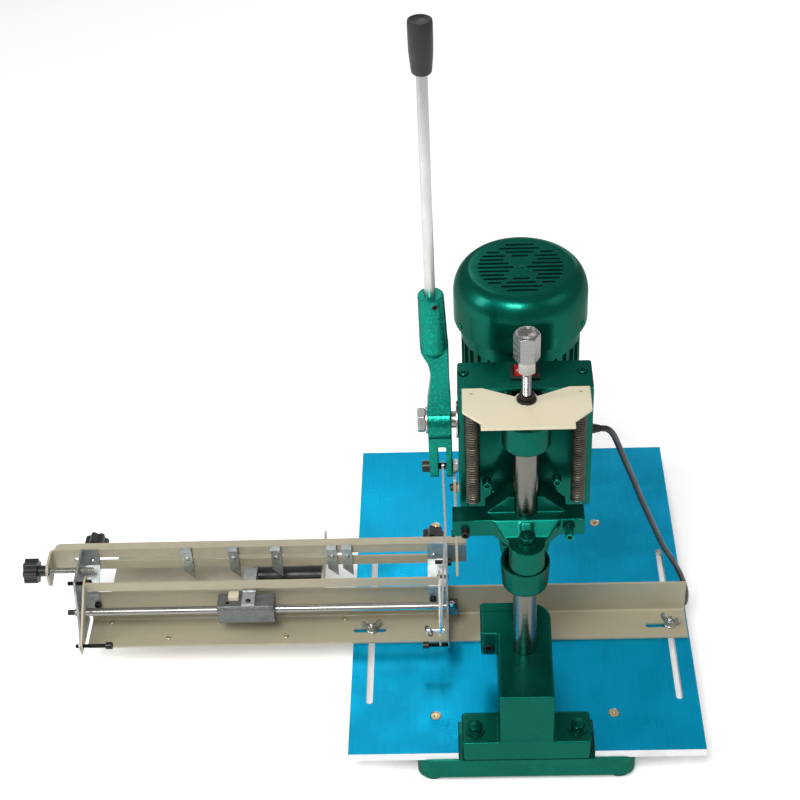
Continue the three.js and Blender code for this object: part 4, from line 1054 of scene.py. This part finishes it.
def build_lever():
    shaft = join(slab("x", -7.5, 7.5, pinion_outline()), bar("x", -102.5, 71.3, *PINION, 9))
    shaft = drilled(shaft, "x", -110, -82, *PINION, 5.3)
    piece("cross_shaft", shaft, STEEL_X, "lever", 0.3, ["pinion_shaft"])

    left, right = -103.5, -78.5
    side = arc(*CLEVIS, 12, 189, 351, 14) + [(PINION_Y + 14, 430)]
    side += arc(*PINION, 21, -40, 52, 12) + [(PINION_Y + 10, 500), (PINION_Y + 11, 562)]
    side += [(PINION_Y - 11, 562), (PINION_Y - 10, 500)] + arc(*PINION, 21, 128, 220, 12)
    body = slab("x", left - 12, right + 0.5, side)
    front = [(left, 370), (right, 370), (right, 490), (right - 0.8, 512), (right - 0.8, 562)]
    front += [(ROD_X - 12, 562), (ROD_X - 9, 554), (ROD_X - 4.5, 545), (ROD_X - 2, 530)]
    front += [(ROD_X - 3.5, 512), (left, 487)]
    body = common(body, slab("y", -20, 90, front))
    top, lean = 626.5, 0.026
    socket = turned("z", [(0, 545), (8, 547), (14.9, 560), (13.4, top), (0, top)], 0, PINION_Y)
    for corner in socket.data.vertices:
        corner.co.x += ROD_X + 0.7 + lean * (top - corner.co.z)
    body = join(body, socket)
    body = cut(body, box(LINK_X - 4.3, LINK_X + 4.3, PINION_Y - 30, PINION_Y + 30, 300, 435))
    body = cast(body, 0.7, 4, 0.25)
    body = cut(body, bar("z", 560, 630, *ROD, 5.7), bar("x", -120, -70, *CLEVIS, 4.2))
    body = cut(body, bar("x", -120, -70, *PINION, 9.2), bar("y", 15, PINION_Y, ROD_X + 5, 619, 3.1))
    piece("lever_arm", body, HAMMERED, "lever", 0, ["lever_casting"])
    grub = cut(bar("y", 25.5, 32, ROD_X + 5, 619, 2.9), slab("y", 24, 29, hexagon(ROD_X + 5, 619, 2.8)))
    piece("socket_grub_screw", grub, BLACK_STEEL, "lever", 0.15)

    rod = turned("z", [(0, 561), (5, 561), (5.5, 562), (5.5, 914), (5, 915), (0, 915)], *ROD)
    piece("handle_rod", rod, BRIGHT_STEEL, "lever", 0, ["lever_rod"])
    profile = [(0, 876), (8.8, 876), (9.6, 877), (10, 880), (11, 890), (11.6, 899), (11.8, 912)]
    profile += [(11.8, 926), (11.4, 928.4), (10.4, 929), (8.6, 928.8), (7.6, 928.2), (0, 928.2)]
    grip = cut(turned("z", profile, *ROD, 72), bar("z", 850, 916, *ROD, 5.7))
    piece("handle_grip", grip, RUBBER, "lever", 0, ["lever_grip"])

    face = left - 0.3
    washer("pivot_washer", "x", face - 2, face, *PINION, 14.5, 5.2, NUT_STEEL, "lever")
    head = hex_block("x", face - 11, face - 2.2, *PINION, 24, 8)
    head = join(head, bar("x", face - 3, -84, *PINION, 5))
    piece("pivot_hex_bolt", head, BRIGHT_STEEL, "lever", 0.35, ["pivot_bolt"])
    socket_screw("clevis_screw", "x", left - 0.3, -1, *CLEVIS, 6.4, 31, BLACK_STEEL, "lever",
                 replaces=["clevis_bolt"])
    nut("clevis_hex_nut", "x", right + 0.3, -72.2, *CLEVIS, 13, 4.2, BRIGHT_STEEL, "lever", 0,
        replaces=["clevis_nut"])

    build_link()
    low, high = limits("trip_strip")
    strip = slab("x", low.x, low.x + 3, rounded(low.y, high.y, low.z, high.z, 3))
    strip = join(strip, bar("x", low.x + 2, high.x, 32, 370, 6))
    piece("trip_flat", strip, BEIGE, "head", 0.4, ["trip_strip"])
    for number, z in enumerate((370, 300), 1):
        socket_screw(f"trip_screw_{number}", "x", low.x - 0.1, -1, 32, z, 4.4, 0, BLACK_STEEL, "head", 4)


def build_link():
    """A bent flat strip hanging from the lever, with a round hook at its foot."""
    foot, hook_x, half, thin = 133, -98.5, 5.5, 1.2
    middle = [(LINK_X, CLEVIS_Z), (LINK_X + 0.8, 310), (-98, 141), (hook_x, foot)]
    outline = [(x - thin, z) for x, z in reversed(middle)] + [(x + thin, z) for x, z in middle]
    strip = slab("y", PINION_Y - half, PINION_Y + half, outline)
    strip = join(strip, bar("x", LINK_X - thin, LINK_X + thin, *CLEVIS, half))
    strip = drilled(strip, "x", -100, -80, *CLEVIS, 4.2)
    piece("link_flat", strip, PALE_STEEL, "link", 0.5, ["link_bar"])
    hook = bar("x", hook_x - 17, hook_x + 3, PINION_Y, foot + 2.5, 2.5)
    hook = join(hook, bar("x", hook_x + 2.5, hook_x + 5, PINION_Y, foot + 2.5, 4.4, segments=64))
    piece("link_hook", hook, NUT_STEEL, "link", 0.3)
    ring = [(6, -0.9), (7, -1.2), (7.8, 0), (7, 1.2), (6, 0.9), (5.6, 0), (6, -0.9)]
    ring = turned("x", ring, 0, 0, 40)
    ring = moved(ring, (hook_x - 14, PINION_Y, foot + 0.5), 38)
    piece("link_ring", ring, STEEL, "link", 0)


# ---- fence and gauge
def wing_nut(name, x, y, seat, turn, body, replaced):
    """A wing nut with two curved wings on a threaded stud."""
    profile = [(0, 0), (7.4, 0), (7.4, 1.8), (6.2, 2.4), (4.9, 9), (0, 9)]
    hub = turned("z", [(radius, seat + height) for radius, height in profile], 0, 0, 48)
    wing = [(3, 2.6), (6.5, 3.2), (10, 6.5), (12.6, 12), (12.4, 15), (10.2, 16.3)]
    wing += [(7.4, 15), (5.4, 11), (3, 9)]
    for side in (-1, 1):
        hub = join(hub, slab("y", -1.6, 1.6, [(side * a, seat + b) for a, b in wing]))
    hub = cast(hub, 0.4, 3, 0.4)
    hub = moved(hub, (x, y, 0), turn)
    piece(name, hub, NUT_STEEL, body, 0, [replaced])
    piece(f"{name}_stud", threaded("z", 32.3, seat + 13, x, y, 3, 1), NUT_STEEL, body, 0)


def bent_angle(start, stop, near, far, bottom, height, thick, inner=3.0):
    """An angle bar along X: a flat flange towards near and an upright one at far."""
    outer = inner + thick
    outline = [(near, bottom)]
    outline += arc(far - outer, bottom + outer, outer, 270, 360, 8)
    outline += [(far, bottom + height), (far - thick, bottom + height)]
    outline += arc(far - outer, bottom + outer, inner, 360, 270, 8)
    outline.append((near, bottom + thick))
    return slab("x", start, stop, outline)


def build_fence():
    low, high = limits("fence")
    angle = bent_angle(low.x, high.x, low.y, high.y, low.z, high.z - low.z, 3)
    for start, stop in ((-210, -169), (157, 191)):
        angle = cut(angle, slab("z", low.z - 1, low.z + 4, rounded(start, stop, 113.5, 120.5, 3.49)))
    piece("fence_angle", angle, BEIGE, "fence", 0.35, ["fence"])
    for number, (x, y) in enumerate(((-520, 138), (-444, 110), (-295, 109), (-222, 137)), 1):
        cross_screw(f"fence_screw_{number}", "z", FENCE_TOP, 1, x, y, 3.2, BRASS, "fence")
    wing_nut("wing_nut_west", -187, 117, FENCE_TOP + 0.3, 12, "clamp_left", "wing_nut_left")
    wing_nut("wing_nut_east", 187, 117, FENCE_TOP + 0.3, -28, "clamp_right", "wing_nut_right")


def build_end_plates():
    for name in ("left", "right"):
        carry(f"end_plate_{name}", ZINC, 0.35)
    for number, (x, y, z) in enumerate(((-533, 141, 84), (-109, 141, 84)), 1):
        socket_screw(f"end_plate_screw_{number}", "y", y, -1, x, z, 4.4, 0, BLACK_STEEL, "fence", 4)
    low, high = limits("guide_rod")
    profile = [(0, low.x), (4.4, low.x), (5, low.x + 0.7), (5, high.x - 0.7), (4.4, high.x), (0, high.x)]
    piece("guide_bar", turned("x", profile, *GUIDE, 48), STEEL_X, "fence", 0, ["guide_rod"])
    block = cut(box(-89.2, -77.5, 108, 122, 88, 102.5), bar("x", -99, -76, *GUIDE, 5.2))
    piece("rod_block_right", block, BLACK_STEEL, "fence", 0.8)
    nut("rod_nut_right", "z", 102.7, 106.5, -85.5, 111, 6.5, 1.5, BRIGHT_STEEL, "fence", 0)
    socket_screw("rod_screw_left", "x", low.x - 0.2, -1, *GUIDE, 3.4, 0, BLACK_STEEL, "fence", 9)
    socket_screw("ear_screw_right", "x", -89.3, 1, 152, 136.5, 4.8, 16, BLACK_STEEL, "fence", 4.5)


def build_rail():
    low, high = limits("rail")
    y, thick = RAIL_Y, 3
    bend = 8
    outline = [(high.x, y + thick)] + arc(low.x + bend, y + thick - bend, bend, 90, 180, 8)
    outline += [(low.x, 141), (low.x + thick, 141)]
    outline += arc(low.x + bend, y + thick - bend, bend - thick, 180, 90, 8) + [(high.x, y)]
    sheet = slab("z", low.z, high.z, outline)
    tab = [(y + 4, high.z), (y + 4, 120)] + arc(151, 121, 9, 270, 200, 6)
    tab += [(141, 140)] + arc(151, 136, 10, 180, 90, 6)
    beyond = box(low.x + 3.3, high.x + 1, y - 12, y + 4, low.z - 1, high.z + 1)
    rail = common(sheet, join(slab("x", low.x - 1, low.x + 3.4, tab), beyond))
    rail = cut(rail, box(-91.5, high.x + 1, y - 1, y + 4, low.z - 1, high.z - 3.5))
    lip = [(low.x + bend - 2, y), (high.x, y), (high.x, y + 12), (low.x + bend + 5, y + 12)]
    lip += arc(low.x + bend + 5, y + 5, 7, 90, 180, 6)
    rail = join(rail, slab("z", high.z - 3, high.z, lip))
    rail = cut(rail, slab("y", y - 1, y + 4, rounded(-562, -92.6, 125.5, 132.5, 3.49)))
    rail = drilled(rail, "x", low.x - 1, low.x + 4, *FEED, 4.3)
    piece("rail_end_sheet", box(-91.3, high.x, y - 0.2, y + 2.4, low.z + 1, high.z - 3.2), ZINC, "rail", 0.3)
    piece("stop_rail", rail, BEIGE, "rail", 0.4, ["rail"])


def build_stops():
    for number in range(1, 6):
        body = f"stop_{number}"
        low, high = limits(body)
        face = high.y
        x0, x1 = low.x, high.x
        blade = slab("y", face - 2.5, face, [(x0, high.z), (x0, 108), (x1, 95), (x1, high.z)])
        lip = slab("x", x0, x1, [(face, high.z - 3)] + arc(face - 2.6, high.z - 2.6, 2.6, 0, 90, 6)
                   + [(low.y, high.z), (low.y, high.z - 2.5), (face - 2.6, high.z - 2.5)])
        blade = join(cut(blade, box(x0 - 1, x1 + 1, face - 3, face + 1, high.z - 2.6, high.z + 1)), lip)
        middle = (x0 + x1) / 2
        piece(f"stop_blade_{number}", blade, STOP_ZINC, body, 0.3, [body])
        cross_screw(f"stop_screw_{number}", "y", face - 2.5, -1, middle, 129, 3.3, NUT_STEEL, body)


def build_knobs():
    y, z = FEED
    low, high = limits("rail_knob")
    knob = join(star("x", low.x, low.x + 17, y, z, 14.3, 1.7), bar("x", low.x + 15, -591.4, y, z, 7))
    knob = drilled(knob, "x", low.x - 1, low.x + 1.2, y, z, 6)
    piece("feed_star_knob", knob, BLACK_PLASTIC, "feed_screw", 1.0, ["rail_knob"])
    piece("feed_thread", threaded("x", -592, high.x, y, z, 4, 2, 32), NUT_STEEL, "feed_screw", 0)
    for name, label, x in (("left", "west", -538), ("right", "east", -107)):
        low, high = limits(f"lock_knob_{name}")
        face = RAIL_Y + 3.3
        knob = star("y", high.y - 17, high.y, x, STOP_Z, 13.6, 1.5)
        knob = join(knob, bar("y", face, high.y - 16, x, STOP_Z, 7))
        knob = drilled(knob, "y", high.y - 1.2, high.y + 1, x, STOP_Z, 6)
        node, body = f"lock_knob_{name}", f"lock_{name}"
        piece(f"lock_star_knob_{label}", knob, BLACK_PLASTIC, body, 1.0, [node])
        piece(f"lock_stud_{label}", threaded("y", low.y, face + 1, x, STOP_Z, 3, 1), NUT_STEEL, body, 0)
        washer(f"lock_washer_{label}", "y", RAIL_Y + 3.05, RAIL_Y + 3.28, x, STOP_Z, 8, 3.2, NUT_STEEL, body)


def build_bail():
    carry("bail", BEIGE, 0.35)
    socket_screw("bail_pivot_left", "x", -536.8, 1, *BAIL_PIVOT, 4.6, 0, BLACK_STEEL, "bail", 6)
    piece("bail_stub_left", threaded("x", -560, -536.5, *BAIL_PIVOT, 2.7, 0.9), BLACK_STEEL, "bail", 0)
    piece("bail_stub_right", threaded("x", -102.5, -88.5, *BAIL_PIVOT, 2.7, 0.9), BLACK_STEEL, "bail", 0)
    piece("bail_screw_right", threaded("x", -120, -90, 58, 88, 2.5, 0.9), BLACK_STEEL, "bail", 0)
    piece("bail_screw_right_head", bar("x", -121.5, -114, 58, 88, 4.2), BLACK_STEEL, "bail", 0.4)
    rod = threaded("x", -546, -507, *BAIL_SCREW, 2.5, 0.9)
    piece("bail_screw_left", rod, BLACK_STEEL, "bail", 0)
    head = bar("x", -509, -501, *BAIL_SCREW, 4.4)
    head = cut(head, slab("x", -505, -500, hexagon(*BAIL_SCREW, 4.4)))
    washer("bail_washer_left", "x", -541.2, -539.8, *BAIL_SCREW, 5.6, 2.6, STOP_ZINC, "bail")
    piece("bail_screw_left_head", head, BLACK_STEEL, "bail", 0.3)


def build_carriage():
    low, high = limits("slider_block")
    outline = [(low.y, low.z + 9), (low.y + 7, low.z), (high.y, low.z + 2)]
    outline += [(high.y, high.z), (low.y + 3, high.z), (low.y, high.z - 4)]
    block = slab("x", low.x, high.x, outline)
    block = cast(block, 0.8, 3, 0.3)
    block = drilled(block, "x", low.x - 1, high.x + 1, *GUIDE, 5.2)
    block = drilled(block, "z", high.z - 9, high.z + 1, -363, 110, 2.4)
    piece("slider_casting", block, CAST_ZINC, "carriage", 0, ["slider_block"])
    # The pad takes the lighter beige copy, painted light for its top lit from above.
    cream = slab("z", high.z + 0.1, high.z + 7, rounded(-362, -349, 113, 124, 1.5))
    piece("slider_pad", cream, LIT_BEIGE, "carriage", 0.5)
    carry("slider_bracket", ZINC, 0.35)
    cross_screw("bracket_screw", "z", high.z + 3.3, 1, -337, 110, 3.4, BLACK_STEEL, "carriage")
    carry("stop_plate", BEIGE, 0.3)
    carry("rest_bar", RUBBER, 0.6)


# ---- floor and light
def area_light(name, place, target, size, power):
    data = bpy.data.lights.new(name, "AREA")
    data.shape = "RECTANGLE"
    data.size, data.size_y = size
    data.energy = power
    light = added(name, data)
    light.location = place
    light.rotation_euler = (Vector(target) - Vector(place)).to_track_quat("-Z", "Y").to_euler()


def build_studio():
    half = 6
    corners = [(-half, -half, 0), (half, -half, 0), (half, half, 0), (-half, half, 0)]
    floor = from_faces(corners, [[0, 1, 2, 3]])
    floor.name = "floor"
    floor.location.z = -0.0005
    dress(floor, floor_material(), 0)
    world = bpy.data.worlds.new("studio")
    world.use_nodes = True
    sky = world.node_tree.nodes["Background"]
    sky.inputs["Color"].default_value = (1, 1, 1, 1)
    sky.inputs["Strength"].default_value = 0.4
    bpy.context.scene.world = world
    # Each light: its place, what it looks at, its width and height in metres, and its power in watts.
    area_light("key", (-0.35, -1.9, 3.0), (0, 0, 0.25), (1.0, 1.0), 78)
    area_light("left_strip", (-2.0, -0.6, 1.6), (0, 0, 0.3), (0.6, 1.6), 24)
    area_light("right_fill", (2.0, -0.6, 2.0), (0, 0, 0.3), (1.2, 1.2), 5)
    area_light("film_glow", (-0.1, 1.42, 1.7), (0.05, -0.05, 0.05), (0.4, 0.7), 2)
    area_light("rim", (0.9, 2.6, 0.9), (0, 0, 0.3), (1.6, 0.8), 8)
    bpy.context.scene.view_settings.view_transform = "Standard"


build_camera()
build_cord()
build_base()
build_table()
build_column_block()
build_column()
build_springs()
build_head()
build_yoke()
build_switch()
build_motor()
build_spindle()
build_lever()
build_fence()
build_end_plates()
build_rail()
build_stops()
build_knobs()
build_bail()
build_carriage()
build_studio()
